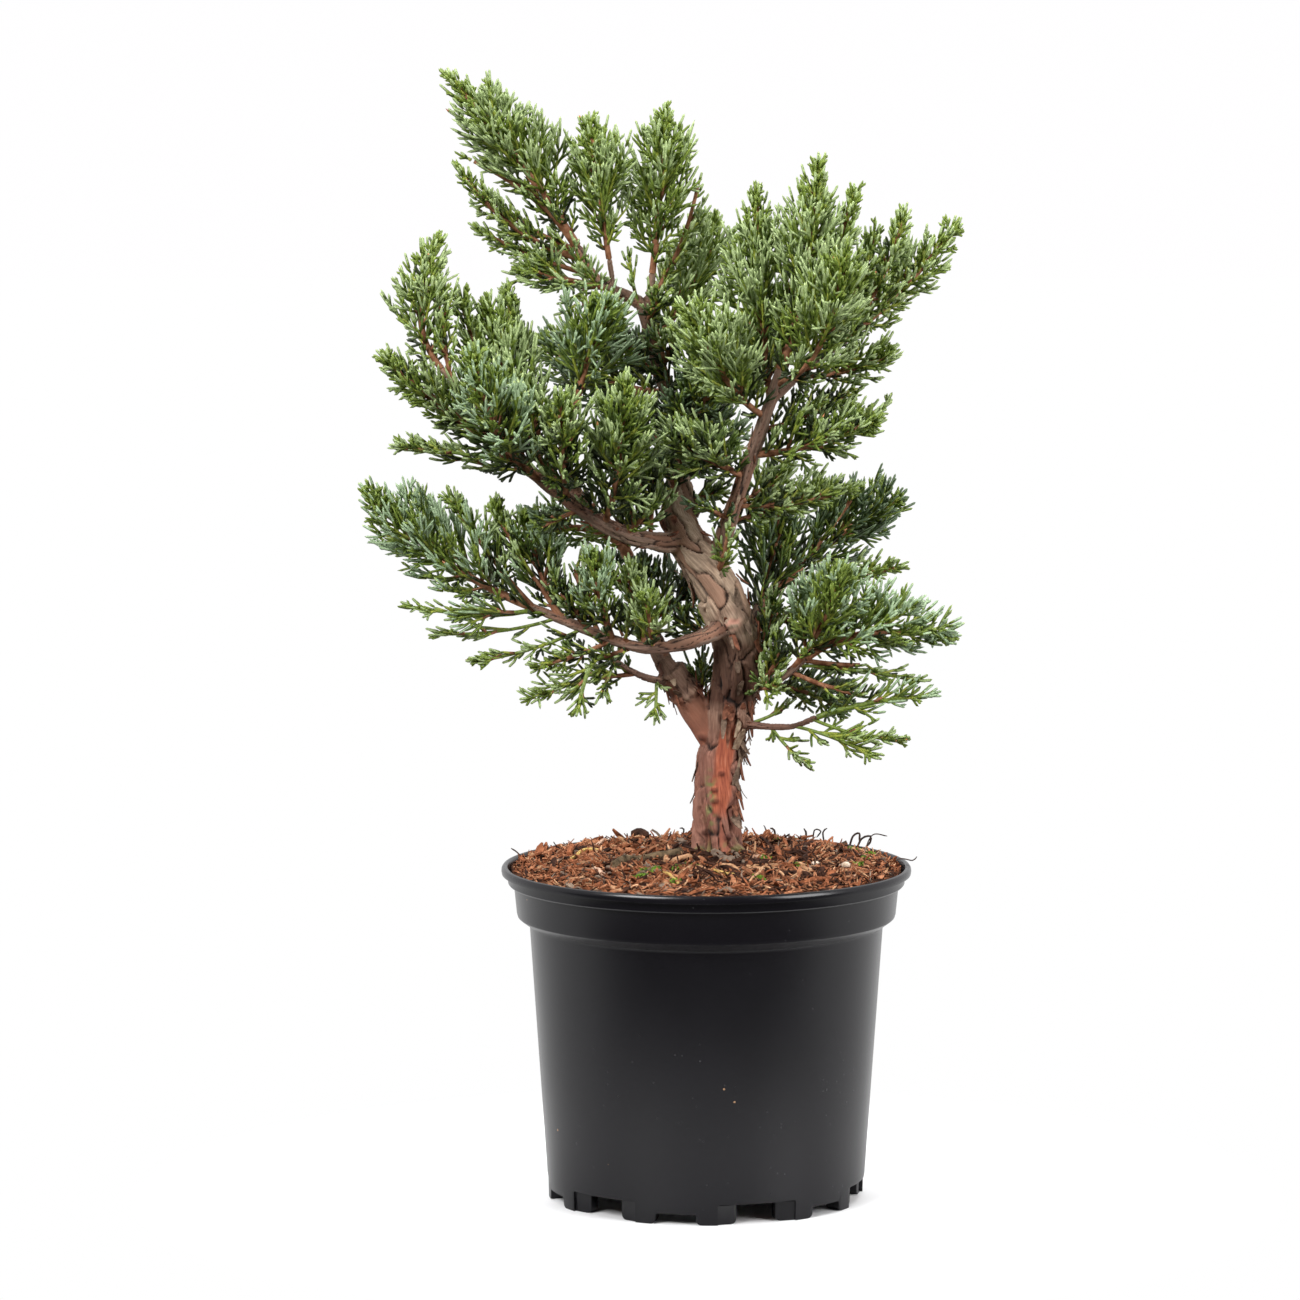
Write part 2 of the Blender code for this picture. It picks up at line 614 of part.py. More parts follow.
class Mass:
    """Grows one foliage mass and joins it into one solid."""

    def __init__(self, name, stems, space, spray, seed):
        self.name = name
        self.spec = MASSES[name]
        self.path = stems[name]
        self.space = space
        self.spray = spray
        self.dice = random.Random(seed)
        self.spray_length = max(SPRAY_MIN, SPRAY_REACH * self.spec[6])
        self.middles = []
        self.pieces = bpy.data.collections.new("pieces")
        bpy.context.scene.collection.children.link(self.pieces)

    def add(self, mesh, stand):
        piece = bpy.data.objects.new("growth", mesh)
        piece.matrix_world = Matrix.Scale(MM, 4) @ stand
        self.pieces.objects.link(piece)

    def fits(self, stand, size):
        """True where a spray of this length has room, keeps to its space and clears the wood."""
        heart = stand @ Vector((0, 0, size * 0.5))
        if any((heart - other).length < ELBOW_ROOM * self.spray_length for other in self.middles):
            return False
        corners = [stand @ (vertex.co * size) for vertex in self.spray.vertices
                   if vertex.co.z > 0]
        middle = [(share, stand @ Vector((0, 0, share * size))) for share in (0.3, 0.6, 0.85)]
        return (all(self.space.owns(self.name, corner) for corner in corners)
                and all(self.space.off_wood(self.name, corner, 0.3) for corner in corners)
                and all(self.space.off_wood(self.name, place, size * SPRAY_T * (1 - share) / 2)
                        for share, place in middle))

    def try_spray(self, root, direction, side, length):
        """Add a spray where it fits; a long one is tried again, shorter."""
        stand = standing(root, direction, side)
        for size in (length * share for share in SPRAY_TRIES):
            if self.fits(stand, size):
                self.add(self.spray, stand @ Matrix.Scale(size, 4))
                self.middles.append(stand @ Vector((0, 0, size * 0.5)))
                return True
        return False

    def grow_twig(self, t, angle):
        """A twig with its end spray, and one more spray on its side."""
        place, _radius, onward = point_at(self.path, t)
        side = Matrix.Rotation(angle, 3, onward) @ onward.orthogonal().normalized()
        splay = SPLAY_BASE + (SPLAY_TIP - SPLAY_BASE) * t
        direction = (onward * math.cos(splay) + side * math.sin(splay) + UP * LIFT).normalized()
        reach = spread(self.spec, t) * self.dice.uniform(0.95, 1.1)
        flat = direction.cross(onward).normalized()
        for size in SPRAY_TRIES:
            spray = self.spray_length * size
            wood = max(TWIG_MIN, reach * size - spray * 0.8)
            stand = standing(place, direction, flat)
            if self.fits(stand @ Matrix.Translation((0, 0, wood)), spray):
                self.add(shoot_mesh(wood, spray), stand)
                self.middles.append(stand @ Vector((0, 0, wood + spray * 0.5)))
                break
        else:
            return 0
        turned = Matrix.Rotation(self.dice.choice((-1, 1)) * SPRAY_FORK, 3,
                                 direction.cross(flat).normalized()) @ direction
        return 1 + self.try_spray(place + direction * wood * SPRAY_SUNK, turned, flat,
                                  self.spray_length * 0.9)

    def grow_tip(self):
        """The stem's own end: one spray to the very tip and one to each side."""
        tip = self.path[-1][0]
        length = (tip - self.path[0][0]).length
        share = max(0.3, 1 - self.spray_length / length)
        root, _radius, onward = point_at(self.path, share)
        side = onward.cross(UP if abs(onward.z) < 0.9 else Vector((1, 0, 0))).normalized()
        count = self.try_spray(root, (tip - root).normalized(), side, (tip - root).length)
        for turn in (-TIP_FORK, TIP_FORK):
            direction = Matrix.Rotation(turn, 3, side.cross(onward).normalized()) @ onward
            count += self.try_spray(root - onward * 5, direction, side,
                                    self.spray_length * TIP_SIDE_SHARE)
        return count

    def add_core(self):
        """A dense mass has a slim, lumpy core that its sprays stand out of."""
        if not self.spec[7]:
            return
        start = point_at(self.path, LEAFY_FROM)[0]
        end = point_at(self.path, LEAFY_TO + 0.05)[0]
        stand = standing(start, end - start, (end - start).orthogonal())
        for size in CORE_TRIES:
            core = core_mesh(self.spec[6] * self.spec[7] * size, (end - start).length, self.dice)
            places = [stand @ vertex.co for vertex in core.vertices]
            middle = [start.lerp(end, at) for at in (0.3, 0.5, 0.7)]
            if (all(self.space.owns(self.name, place) for place in places)
                    and all(self.space.off_wood(self.name, place, 0.5) for place in places)
                    and all(self.space.off_wood(self.name, place, CORE_CLEAR) for place in middle)):
                self.add(core, stand)
                return

    def build(self, paths):
        self.add_core()
        count = self.grow_tip()
        twigs = round(self.spec[4] * (LEAFY_TO - LEAFY_FROM) / TWIG_STEP)
        turn = self.dice.uniform(0, math.tau)
        for index in range(twigs):
            t = LEAFY_TO - (LEAFY_TO - LEAFY_FROM) * index / (twigs - 1)
            if count < SPRAYS:
                count += self.grow_twig(t, turn + index * GOLDEN_ANGLE)
        mass = add_object(self.name, tube(self.name, self.path[:-1], TWIG_SIDES), plant)
        boolean(mass, "UNION", group=self.pieces, solver="MANIFOLD")
        bake(mass)
        drop_scraps(mass.data)
        for piece in list(self.pieces.objects):
            remove(piece)
        bpy.data.collections.remove(self.pieces)
        for limb, path in paths.items():
            if meets(self.path, dense(path), 1.5):
                cut_by_limb(mass, limb, path, solver="MANIFOLD")
        mass.data.materials.clear()
        mass.data.materials.append(FOLIAGE)


def make_foliage(paths):
    stems = {name: stem_path(spec, paths) for name, spec in MASSES.items()}
    space = Space(stems, paths)
    spray = lathe_like("spray", spray_rings(0, 1))
    for number, name in enumerate(MASSES):
        Mass(name, stems, space, spray, SEED + number).build(paths)


# ---- the whole plant ----------------------------------------------------------------------
def centre_on_ground():
    """Move the plant so that the middle of its plan is over the origin."""
    corners = [thing.matrix_world @ vertex.co for thing in plant.objects
               for vertex in thing.data.vertices]
    middle = [(min(c[axis] for c in corners) + max(c[axis] for c in corners)) / 2
              for axis in (0, 1)]
    for thing in plant.objects:
        thing.location.x -= middle[0]
        thing.location.y -= middle[1]


make_pot()
make_mix()
limb_lines = limb_paths()
make_limbs(limb_lines)
make_foliage(limb_lines)
centre_on_ground()
bpy.data.collections.remove(helpers)
bpy.context.view_layer.update()
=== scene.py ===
"""The looks of a young garden juniper, free-grown on a curved trunk, in a black nursery pot.

Each section takes one part of the plant, from the ground up: the setting, the pot, the potting
mix, the wood, and the foliage. Lengths are metres; MM turns millimetres into them. Places on
the plant are measured from the pot's axis at the ground.
"""
import math
from collections import namedtuple

import bpy
import numpy as np
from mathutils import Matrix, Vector


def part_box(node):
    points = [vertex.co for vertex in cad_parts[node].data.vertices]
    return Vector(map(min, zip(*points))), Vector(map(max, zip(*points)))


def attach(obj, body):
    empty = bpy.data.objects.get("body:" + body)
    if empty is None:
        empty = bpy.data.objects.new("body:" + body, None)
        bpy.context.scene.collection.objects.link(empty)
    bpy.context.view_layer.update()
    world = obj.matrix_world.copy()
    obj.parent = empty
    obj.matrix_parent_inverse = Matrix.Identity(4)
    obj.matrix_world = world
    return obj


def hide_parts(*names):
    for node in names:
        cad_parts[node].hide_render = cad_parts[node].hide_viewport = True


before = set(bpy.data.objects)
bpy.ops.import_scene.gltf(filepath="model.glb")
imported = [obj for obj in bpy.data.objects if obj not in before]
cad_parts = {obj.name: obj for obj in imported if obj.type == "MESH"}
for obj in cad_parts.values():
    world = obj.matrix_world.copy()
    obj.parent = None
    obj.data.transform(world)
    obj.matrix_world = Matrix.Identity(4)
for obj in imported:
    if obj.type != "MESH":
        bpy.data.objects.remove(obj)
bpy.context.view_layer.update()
MM = 0.001


# ---- The setting --------------------------------------------------------------------------
# A seamless white floor under big soft boxes, as for a catalogue picture: the key from the
# front left and above, a fill from the right, and white all round that edges the pot.
pot_low, pot_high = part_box("pot")
POT_AXIS = Vector(((pot_low.x + pot_high.x) / 2, (pot_low.y + pot_high.y) / 2, 0))

CAMERA_PLACE = Vector((-0.0261, -2.954, 0.607))
CAMERA_DOWN = 6.79          # degrees below the level
LENS = 178.37               # on a 36 mm sensor
camera_data = bpy.data.cameras.new("camera")
camera_data.sensor_width = 36
camera_data.lens = LENS
camera = bpy.data.objects.new("camera", camera_data)
bpy.context.scene.collection.objects.link(camera)
camera.location = POT_AXIS + CAMERA_PLACE
camera.rotation_euler = (math.radians(90 - CAMERA_DOWN), 0, 0)
bpy.context.scene.camera = camera
bpy.context.scene.view_settings.view_transform = "Standard"


def new_material(name, colour, roughness):
    """A node material, with its Principled shader and its two node lists to hand."""
    made = bpy.data.materials.new(name)
    made.use_nodes = True
    nodes, links = made.node_tree.nodes, made.node_tree.links
    shader = nodes["Principled BSDF"]
    shader.inputs["Base Color"].default_value = (*colour, 1)
    shader.inputs["Roughness"].default_value = roughness
    return made, shader, nodes, links


def remap(nodes, links, value, start, end, low=0.0, high=1.0, kind="LINEAR"):
    """A value's way from start to end, laid out from low to high and held there beyond."""
    made = nodes.new("ShaderNodeMapRange")
    made.interpolation_type = kind
    for label, number in (("From Min", start), ("From Max", end), ("To Min", low), ("To Max", high)):
        made.inputs[label].default_value = number
    links.new(value, made.inputs["Value"])
    return made.outputs["Result"]


def mix_colours(nodes, links, factor, first, second, blend="MIX"):
    """A colour mix whose inputs are sockets or plain values."""
    made = nodes.new("ShaderNodeMix")
    made.data_type = "RGBA"
    made.blend_type = blend
    for label, value in (("Factor", factor), ("A", first), ("B", second)):
        if hasattr(value, "is_linked"):
            links.new(value, made.inputs[label])
        elif label == "Factor":
            made.inputs[label].default_value = value
        else:
            made.inputs[label].default_value = (*value, 1)
    return made.outputs["Result"]


FLOOR_SIZE = 14.0
FLOOR_WHITE = (0.88, 0.88, 0.885)
LIT_FLOOR_R = 0.14          # the floor near the pot is seen as it is lit,
GLOW_FLOOR_R = 0.27         # and from here on the sweep is white to the eye
FLOOR_BOUNCE = 0.45         # how much light the floor by the pot throws back up
WORLD_BACK = 0.8            # light from behind and the sides,
WORLD_FRONT = 0.1           # and from the camera's side, where the room is dark
FLOOR_TURN = (-0.24, -0.04)     # Y, in metres, over which the floor's glow goes from one to the other,
SKY_TURN = (-0.7, 0.1)          # and the same for the sky, by the Y of the direction looked in
bpy.ops.object.select_all(action="DESELECT")
bpy.ops.mesh.primitive_plane_add(size=FLOOR_SIZE, location=(0, 0, 0))
floor = bpy.context.object
floor.name = "studio_floor"


def from_front(nodes, links, vector, turn):
    """A value that goes from the front's level of light to the back's along Y."""
    split = nodes.new("ShaderNodeSeparateXYZ")
    links.new(vector, split.inputs["Vector"])
    return remap(nodes, links, split.outputs["Y"], *turn, WORLD_FRONT, WORLD_BACK, "SMOOTHSTEP")


def white_to_eye(nodes, links, value, strength):
    """Full white for the camera, and the given light for everything else."""
    seen = nodes.new("ShaderNodeLightPath")
    choose = nodes.new("ShaderNodeMix")
    choose.inputs["B"].default_value = 1.0
    links.new(value, choose.inputs["A"])
    links.new(seen.outputs["Is Camera Ray"], choose.inputs["Factor"])
    links.new(choose.outputs["Result"], strength)


floor_paint, lit_floor, floor_nodes, floor_links = new_material("white_floor", FLOOR_WHITE, 0.55)
floor_place = floor_nodes.new("ShaderNodeTexCoord")
floor_away = floor_nodes.new("ShaderNodeVectorMath")
floor_away.operation = "DISTANCE"
floor_away.inputs[1].default_value = POT_AXIS
floor_links.new(floor_place.outputs["Object"], floor_away.inputs[0])
floor_fade = remap(floor_nodes, floor_links, floor_away.outputs["Value"], LIT_FLOOR_R, GLOW_FLOOR_R,
                   kind="SMOOTHSTEP")
glow = floor_nodes.new("ShaderNodeEmission")
glow_level = from_front(floor_nodes, floor_links, floor_place.outputs["Object"], FLOOR_TURN)
white_to_eye(floor_nodes, floor_links, glow_level, glow.inputs["Strength"])
floor_seen = floor_nodes.new("ShaderNodeLightPath")
floor_tone = mix_colours(floor_nodes, floor_links, floor_seen.outputs["Is Camera Ray"],
                         [FLOOR_BOUNCE] * 3, FLOOR_WHITE)
floor_blend = floor_nodes.new("ShaderNodeMixShader")
floor_links.new(floor_fade, floor_blend.inputs["Fac"])
floor_links.new(floor_tone, lit_floor.inputs["Base Color"])
floor_links.new(lit_floor.outputs["BSDF"], floor_blend.inputs[1])
floor_links.new(glow.outputs["Emission"], floor_blend.inputs[2])
floor_links.new(floor_blend.outputs["Shader"], floor_nodes["Material Output"].inputs["Surface"])
floor.data.materials.append(floor_paint)

world = bpy.data.worlds.new("studio")
bpy.context.scene.world = world
world.use_nodes = True
sky_nodes, sky_links = world.node_tree.nodes, world.node_tree.links
sky = sky_nodes["Background"]
sky.inputs["Color"].default_value = (1, 0.995, 1, 1)
facing = sky_nodes.new("ShaderNodeTexCoord")
sky_level = from_front(sky_nodes, sky_links, facing.outputs["Generated"], SKY_TURN)
white_to_eye(sky_nodes, sky_links, sky_level, sky.inputs["Strength"])

SOFT_BOXES = (              # name, place, aimed at, width, height, watts
    ("key", (-1.5, -1.7, 1.9), (0, 0, 0.3), 1.3, 1.3, 92),
    ("fill", (1.9, -1.2, 1.1), (0, 0, 0.3), 1.2, 1.4, 52),
    ("top", (0.1, 0.3, 2.1), (0, 0, 0.2), 1.6, 1.6, 52),
)
for name, place, aim, width, height, watts in SOFT_BOXES:
    data = bpy.data.lights.new(name, "AREA")
    data.shape = "RECTANGLE"
    data.size, data.size_y = width, height
    data.energy = watts
    lamp = bpy.data.objects.new(name, data)
    bpy.context.scene.collection.objects.link(lamp)
    lamp.location = place
    lamp.rotation_euler = (Vector(aim) - Vector(place)).to_track_quat("-Z", "Y").to_euler()


# ---- The pot ------------------------------------------------------------------------------
# A 3 litre nursery pot, injection-moulded in black polypropylene about 1.6 mm thick: a rolled
# bead, two stepped bands, a tapering body, and a ring of castellated feet with drain pockets.
POT_SIDES = 144
PROFILE = (                 # radius and height, from the floor inside round to the underside
    (60, 9.0), (72.1, 9.0), (80.4, 128.5), (86.0, 132.5), (87.4, 146.5), (90.4, 148.2),
    (91.6, 153.0), (92.3, 154.6), (93.3, 155.0), (94.3, 154.7), (94.9, 153.8), (95.0, 152.6),
    (94.8, 151.4), (92.2, 150.9), (91.9, 147.2), (91.4, 146.6), (89.2, 146.3), (87.9, 133.2),
    (87.5, 131.7), (86.6, 130.9), (82.4, 127.9), (81.9, 126.6), (73.9, 11.0), (73.6, 9.0),
    (73.3, 0.0), (66.0, 0.0), (66.0, 7.5), (60, 7.5),
)
FEET_PERIOD = 60            # degrees from one drain pocket to the next
POCKET_AT = 18.6            # the first one, in degrees from the front towards the right
POCKET_W = 37.6             # two set-back half feet and the gap between them
POCKET_FACE_R = 69.6
NOTCH_W = 18.8
NOTCH_FROM_R = 60           # the gap is cut right through the feet,
LOW_NOTCH_FROM_R = 62       # and so is the low notch between two pockets
CUT_TO_R = 100
FOOT_H = 9.5
NOTCH_DROP = 0.4            # the gap's roof is this much under the pocket's
LOW_NOTCH_H = 5.0
FOOT_CORNER = 2.6           # rounding of a foot's lower corners
NOTCH_CORNER = 1.0          # and of a notch's upper ones
CORNER_STEPS = 4
EDGE_ROUND = 0.35
SHARP_OVER = 38             # edges that turn more than this, in degrees, are rounded,
SMOOTH_UNDER = 32           # and faces that turn less are shaded as one


def only(piece):
    """Select one object and make it the active one."""
    bpy.ops.object.select_all(action="DESELECT")
    piece.select_set(True)
    bpy.context.view_layer.objects.active = piece


def apply_modifiers(piece):
    """Make each of an object's modifiers final, in their order."""
    only(piece)
    for step in list(piece.modifiers):
        bpy.ops.object.modifier_apply(modifier=step.name)


def ringed(name, profile, sides):
    """A closed turned shape: a disc whose edge is extruded from ring to ring of a profile."""
    bpy.ops.object.select_all(action="DESELECT")
    radius, height = profile[0]
    centre = POT_AXIS + Vector((0, 0, height * MM))
    bpy.ops.mesh.primitive_circle_add(vertices=sides, radius=radius * MM, fill_type="NGON",
                                      location=centre)
    made = bpy.context.object
    made.name = name
    bpy.ops.object.mode_set(mode="EDIT")
    for next_radius, next_height in profile[1:]:
        rise = (0, 0, (next_height - height) * MM)
        bpy.ops.mesh.extrude_region_move(TRANSFORM_OT_translate={"value": rise})
        scale = next_radius / radius
        centre = POT_AXIS + Vector((0, 0, next_height * MM))
        bpy.ops.transform.resize(value=(scale, scale, 1), center_override=centre)
        radius, height = next_radius, next_height
    bpy.ops.mesh.select_all(action="SELECT")
    bpy.ops.mesh.normals_make_consistent(inside=False)
    bpy.ops.object.mode_set(mode="OBJECT")
    bpy.ops.object.transform_apply(location=True, rotation=True, scale=True)
    return made


def arc(centre, radius, start, end):
    """Points round part of a circle, angles in degrees."""
    turn = (end - start) / CORNER_STEPS
    angles = [math.radians(start + turn * step) for step in range(CORNER_STEPS + 1)]
    return [(centre[0] + radius * math.cos(a), centre[1] + radius * math.sin(a)) for a in angles]


def notch(width, height, inner, degrees, corner, foot_corner=0.0):
    """A cutter across the feet: an outline with rounded corners, pushed out along a radius."""
    half = width / 2
    right = arc((half - corner, height - corner), corner, 90, 0)
    if foot_corner:
        right += arc((half + foot_corner, foot_corner), foot_corner, 180, 270)
        right += [(half + foot_corner, -1)]
    else:
        right += [(half, -1)]
    outline = right + [(-x, z) for x, z in reversed(right)]
    mesh = bpy.data.meshes.new("notch")
    mesh.from_pydata([(inner * MM, x * MM, z * MM) for x, z in outline], [],
                     [list(range(len(outline)))])
    cutter = bpy.data.objects.new("notch", mesh)
    bpy.context.scene.collection.objects.link(cutter)
    only(cutter)
    bpy.ops.object.mode_set(mode="EDIT")
    bpy.ops.mesh.select_all(action="SELECT")
    beyond = (CUT_TO_R - inner) * MM
    bpy.ops.mesh.extrude_region_move(TRANSFORM_OT_translate={"value": (beyond, 0, 0)})
    bpy.ops.mesh.select_all(action="SELECT")
    bpy.ops.mesh.normals_make_consistent(inside=False)
    bpy.ops.object.mode_set(mode="OBJECT")
    cutter.location = POT_AXIS
    cutter.rotation_euler.z = math.radians(degrees - 90)
    return cutter


pot = ringed("nursery_pot", PROFILE, POT_SIDES)
cutters = []
for pocket in range(360 // FEET_PERIOD):
    at = POCKET_AT + pocket * FEET_PERIOD
    cutters.append(notch(POCKET_W, FOOT_H, POCKET_FACE_R, at, NOTCH_CORNER))
    cutters.append(notch(NOTCH_W, FOOT_H - NOTCH_DROP, NOTCH_FROM_R, at, NOTCH_CORNER, FOOT_CORNER))
    cutters.append(notch(NOTCH_W, LOW_NOTCH_H, LOW_NOTCH_FROM_R, at + FEET_PERIOD / 2, NOTCH_CORNER,
                         FOOT_CORNER))
for cutter in cutters:
    cut = pot.modifiers.new("notch", "BOOLEAN")
    cut.operation = "DIFFERENCE"
    cut.object = cutter
apply_modifiers(pot)
for cutter in cutters:
    bpy.data.objects.remove(cutter)
edge = pot.modifiers.new("moulded_edges", "BEVEL")
edge.width = EDGE_ROUND * MM
edge.segments = 2
edge.limit_method = "ANGLE"
edge.angle_limit = math.radians(SHARP_OVER)
apply_modifiers(pot)
bpy.ops.object.shade_smooth_by_angle(angle=math.radians(SMOOTH_UNDER))


def group_tree(name, inputs, outputs):
    """A shader node group with float or vector inputs and named float outputs."""
    tree = bpy.data.node_groups.new(name, "ShaderNodeTree")
    for label, kind, value in inputs:
        socket = tree.interface.new_socket(label, in_out="INPUT", socket_type=kind)
        if value is not None:
            socket.default_value = value
    for label in outputs:
        tree.interface.new_socket(label, in_out="OUTPUT", socket_type="NodeSocketFloat")
    return tree, tree.nodes.new("NodeGroupInput"), tree.nodes.new("NodeGroupOutput")


def use_group(nodes, tree, **values):
    """A node group placed in a material, with its own values."""
    made = nodes.new("ShaderNodeGroup")
    made.node_tree = tree
    for label, value in values.items():
        made.inputs[label].default_value = value
    return made


def colour_stops(nodes, stops):
    """A colour ramp from a list of (position, colour)."""
    ramp_node = nodes.new("ShaderNodeValToRGB")
    band = ramp_node.color_ramp
    while len(band.elements) < len(stops):
        band.elements.new(0.5)
    for element, (position, colour) in zip(band.elements, stops):
        element.position = position
        element.color = (*colour, 1)
    return ramp_node


def calculate(nodes, links, operation, *values):
    """One step of arithmetic, its inputs sockets or plain numbers."""
    made = nodes.new("ShaderNodeMath")
    made.operation = operation
    for socket, value in zip(made.inputs, values):
        if hasattr(value, "is_linked"):
            links.new(value, socket)
        else:
            socket.default_value = value
    return made.outputs["Value"]


def add_bump(nodes, links, shader, height, strength, distance):
    """Relief too fine to model: the distance is in millimetres."""
    bump = nodes.new("ShaderNodeBump")
    bump.inputs["Strength"].default_value = strength
    bump.inputs["Distance"].default_value = distance * MM
    links.new(height, bump.inputs["Height"])
    links.new(bump.outputs["Normal"], shader.inputs["Normal"])


# Mottle: a soft patchy value and a finer grain, both about 0 to 1.
mottle, mottle_in, mottle_out = group_tree(
    "mottle",
    (("Vector", "NodeSocketVector", None), ("Patch Scale", "NodeSocketFloat", 40.0),
     ("Grain Scale", "NodeSocketFloat", 400.0)),
    ("Patch", "Grain"))
for label in ("Patch", "Grain"):
    texture = mottle.nodes.new("ShaderNodeTexNoise")
    texture.inputs["Detail"].default_value = 4
    mottle.links.new(mottle_in.outputs["Vector"], texture.inputs["Vector"])
    mottle.links.new(mottle_in.outputs[label + " Scale"], texture.inputs["Scale"])
    mottle.links.new(texture.outputs["Fac"], mottle_out.inputs[label])

# Specks: small scattered dots, such as dust and grit, where a cell's own number is high.
specks, specks_in, specks_out = group_tree(
    "specks",
    (("Vector", "NodeSocketVector", None), ("Scale", "NodeSocketFloat", 200.0),
     ("Share", "NodeSocketFloat", 0.05), ("Size", "NodeSocketFloat", 0.15)),
    ("Mask",))
cells = specks.nodes.new("ShaderNodeTexVoronoi")
own_number = specks.nodes.new("ShaderNodeSeparateColor")
for label in ("Vector", "Scale"):
    specks.links.new(specks_in.outputs[label], cells.inputs[label])
specks.links.new(cells.outputs["Color"], own_number.inputs["Color"])
inside = calculate(specks.nodes, specks.links, "LESS_THAN", cells.outputs["Distance"],
                   specks_in.outputs["Size"])
lucky = calculate(specks.nodes, specks.links, "LESS_THAN", own_number.outputs["Red"],
                  specks_in.outputs["Share"])
both = calculate(specks.nodes, specks.links, "MULTIPLY", inside, lucky)
specks.links.new(both, specks_out.inputs["Mask"])

PLASTIC_BLACK = (0.0046, 0.0042, 0.0058)
PLASTIC_TONES = ((0.3, (0.0038, 0.0034, 0.005)), (0.75, (0.0064, 0.0058, 0.008)))
SCUFF_GREY = (0.1, 0.1, 0.105)
GRIT_TAN = (0.34, 0.2, 0.11)
SCUFF_PATCHES = (3.2, -1.55)    # slope and shift that gather the scuffs into patches
PLASTIC_ROUGH = (0.19, 0.27)


def plastic():
    """Satin black polypropylene: faint flow marks, scuffs, and a little tan grit stuck on."""
    made, shader, nodes, links = new_material("black_polypropylene", PLASTIC_BLACK, 0.24)
    shader.inputs["Specular IOR Level"].default_value = 0.4
    place = nodes.new("ShaderNodeTexCoord")
    soft = use_group(nodes, mottle, **{"Patch Scale": 22.0, "Grain Scale": 900.0})
    grit = use_group(nodes, specks, **{"Scale": 210.0, "Share": 0.02, "Size": 0.11})
    scuff = use_group(nodes, specks, **{"Scale": 620.0, "Share": 0.05, "Size": 0.22})
    for user in (soft, grit, scuff):
        links.new(place.outputs["Object"], user.inputs["Vector"])
    body = colour_stops(nodes, PLASTIC_TONES)
    links.new(soft.outputs["Patch"], body.inputs["Fac"])
    patchy = calculate(nodes, links, "MULTIPLY_ADD", soft.outputs["Patch"], *SCUFF_PATCHES)
    patchy.node.use_clamp = True
    scuffed = calculate(nodes, links, "MULTIPLY", patchy, scuff.outputs["Mask"])
    worn = mix_colours(nodes, links, scuffed, body.outputs["Color"], SCUFF_GREY)
    gritty = mix_colours(nodes, links, grit.outputs["Mask"], worn, GRIT_TAN)
    links.new(gritty, shader.inputs["Base Color"])
    rough = remap(nodes, links, soft.outputs["Patch"], 0, 1, *PLASTIC_ROUGH)
    links.new(rough, shader.inputs["Roughness"])
    add_bump(nodes, links, shader, soft.outputs["Grain"], 0.06, 0.3)
    return made


pot.data.materials.append(plastic())
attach(pot, "root")
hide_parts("pot")


# ---- The potting mix ----------------------------------------------------------------------
# Coarse red-brown bark and coir, heaped above the rim towards the trunk. The bed is one lumpy
# plug; the chips, fibres, moss and stones that make its surface are scattered on it.
MIX_EDGE_Z = 153.3
MIX_TOP_Z = 158.6
MIX_EDGE_R = 90.3
MIX_SIDES_DOWN = ((86.8, 146.2), (85.4, 132.4), (80.0, 128.4), (71.8, 9.4))     # inside the pot
TRUNK_FOOT = (5.0, 8.0)     # from the pot's axis, in millimetres
FOOT_RISE = 1.4             # the mix is drawn up round the foot
FOOT_RISE_R = 26.0
LUMPS = ((2.6, 17, 5), (1.7, 5.5, 6))      # rise, spacing and seed
CRUMBS = (1.3, 2.1, 7)
RING_STEP = 1.6
MIX_SIDES = 200


def lattice(cell, seed):
    """A fixed pseudo-random number from 0 to 1 for each whole-number cell."""
    spun = (cell[..., 0] * 374761393 + cell[..., 1] * 668265263 + cell[..., 2] * 1440662683
            + seed * 974634777) & 0xffffffff
    spun = ((spun ^ (spun >> 13)) * 1274126177) & 0xffffffff
    return ((spun ^ (spun >> 16)) & 0xffff) / 65535


def noise(points, seed):
    """Smooth value noise from 0 to 1 at an array of 3-D points."""
    cell = np.floor(points).astype(np.int64)
    part = points - cell
    part = part * part * (3 - 2 * part)
    total = np.zeros(points.shape[:-1])
    for corner in np.ndindex(2, 2, 2):
        weight = np.prod(np.where(np.array(corner) == 1, part, 1 - part), axis=-1)
        total += weight * lattice(cell + np.array(corner), seed)
    return total


def mix_height(x, y):
    """Height of the mix's surface, in millimetres, at places measured from the pot's axis."""
    out = np.hypot(x, y) / MIX_EDGE_R
    heap = MIX_EDGE_Z + (MIX_TOP_Z - MIX_EDGE_Z) * np.clip(1.04 * (1 - out ** 4), 0, 1)
    flat = np.stack([x, y, np.zeros_like(x)], axis=-1)
    lumps = sum(rise * (noise(flat / step, seed) - 0.5) for rise, step, seed in LUMPS)
    near = np.exp(-((x - TRUNK_FOOT[0]) ** 2 + (y - TRUNK_FOOT[1]) ** 2) / FOOT_RISE_R ** 2)
    return heap + lumps * np.clip((1 - out) * 6, 0.25, 1) + FOOT_RISE * near


def coordinates(mesh):
    """A mesh's points as rows of x, y and z."""
    flat = np.empty(len(mesh.vertices) * 3)
    mesh.vertices.foreach_get("co", flat)
    return flat.reshape(-1, 3)


def set_coordinates(mesh, places):
    """Move a mesh's points to the rows given."""
    mesh.vertices.foreach_set("co", places.astype(np.float32).ravel())
    mesh.update()


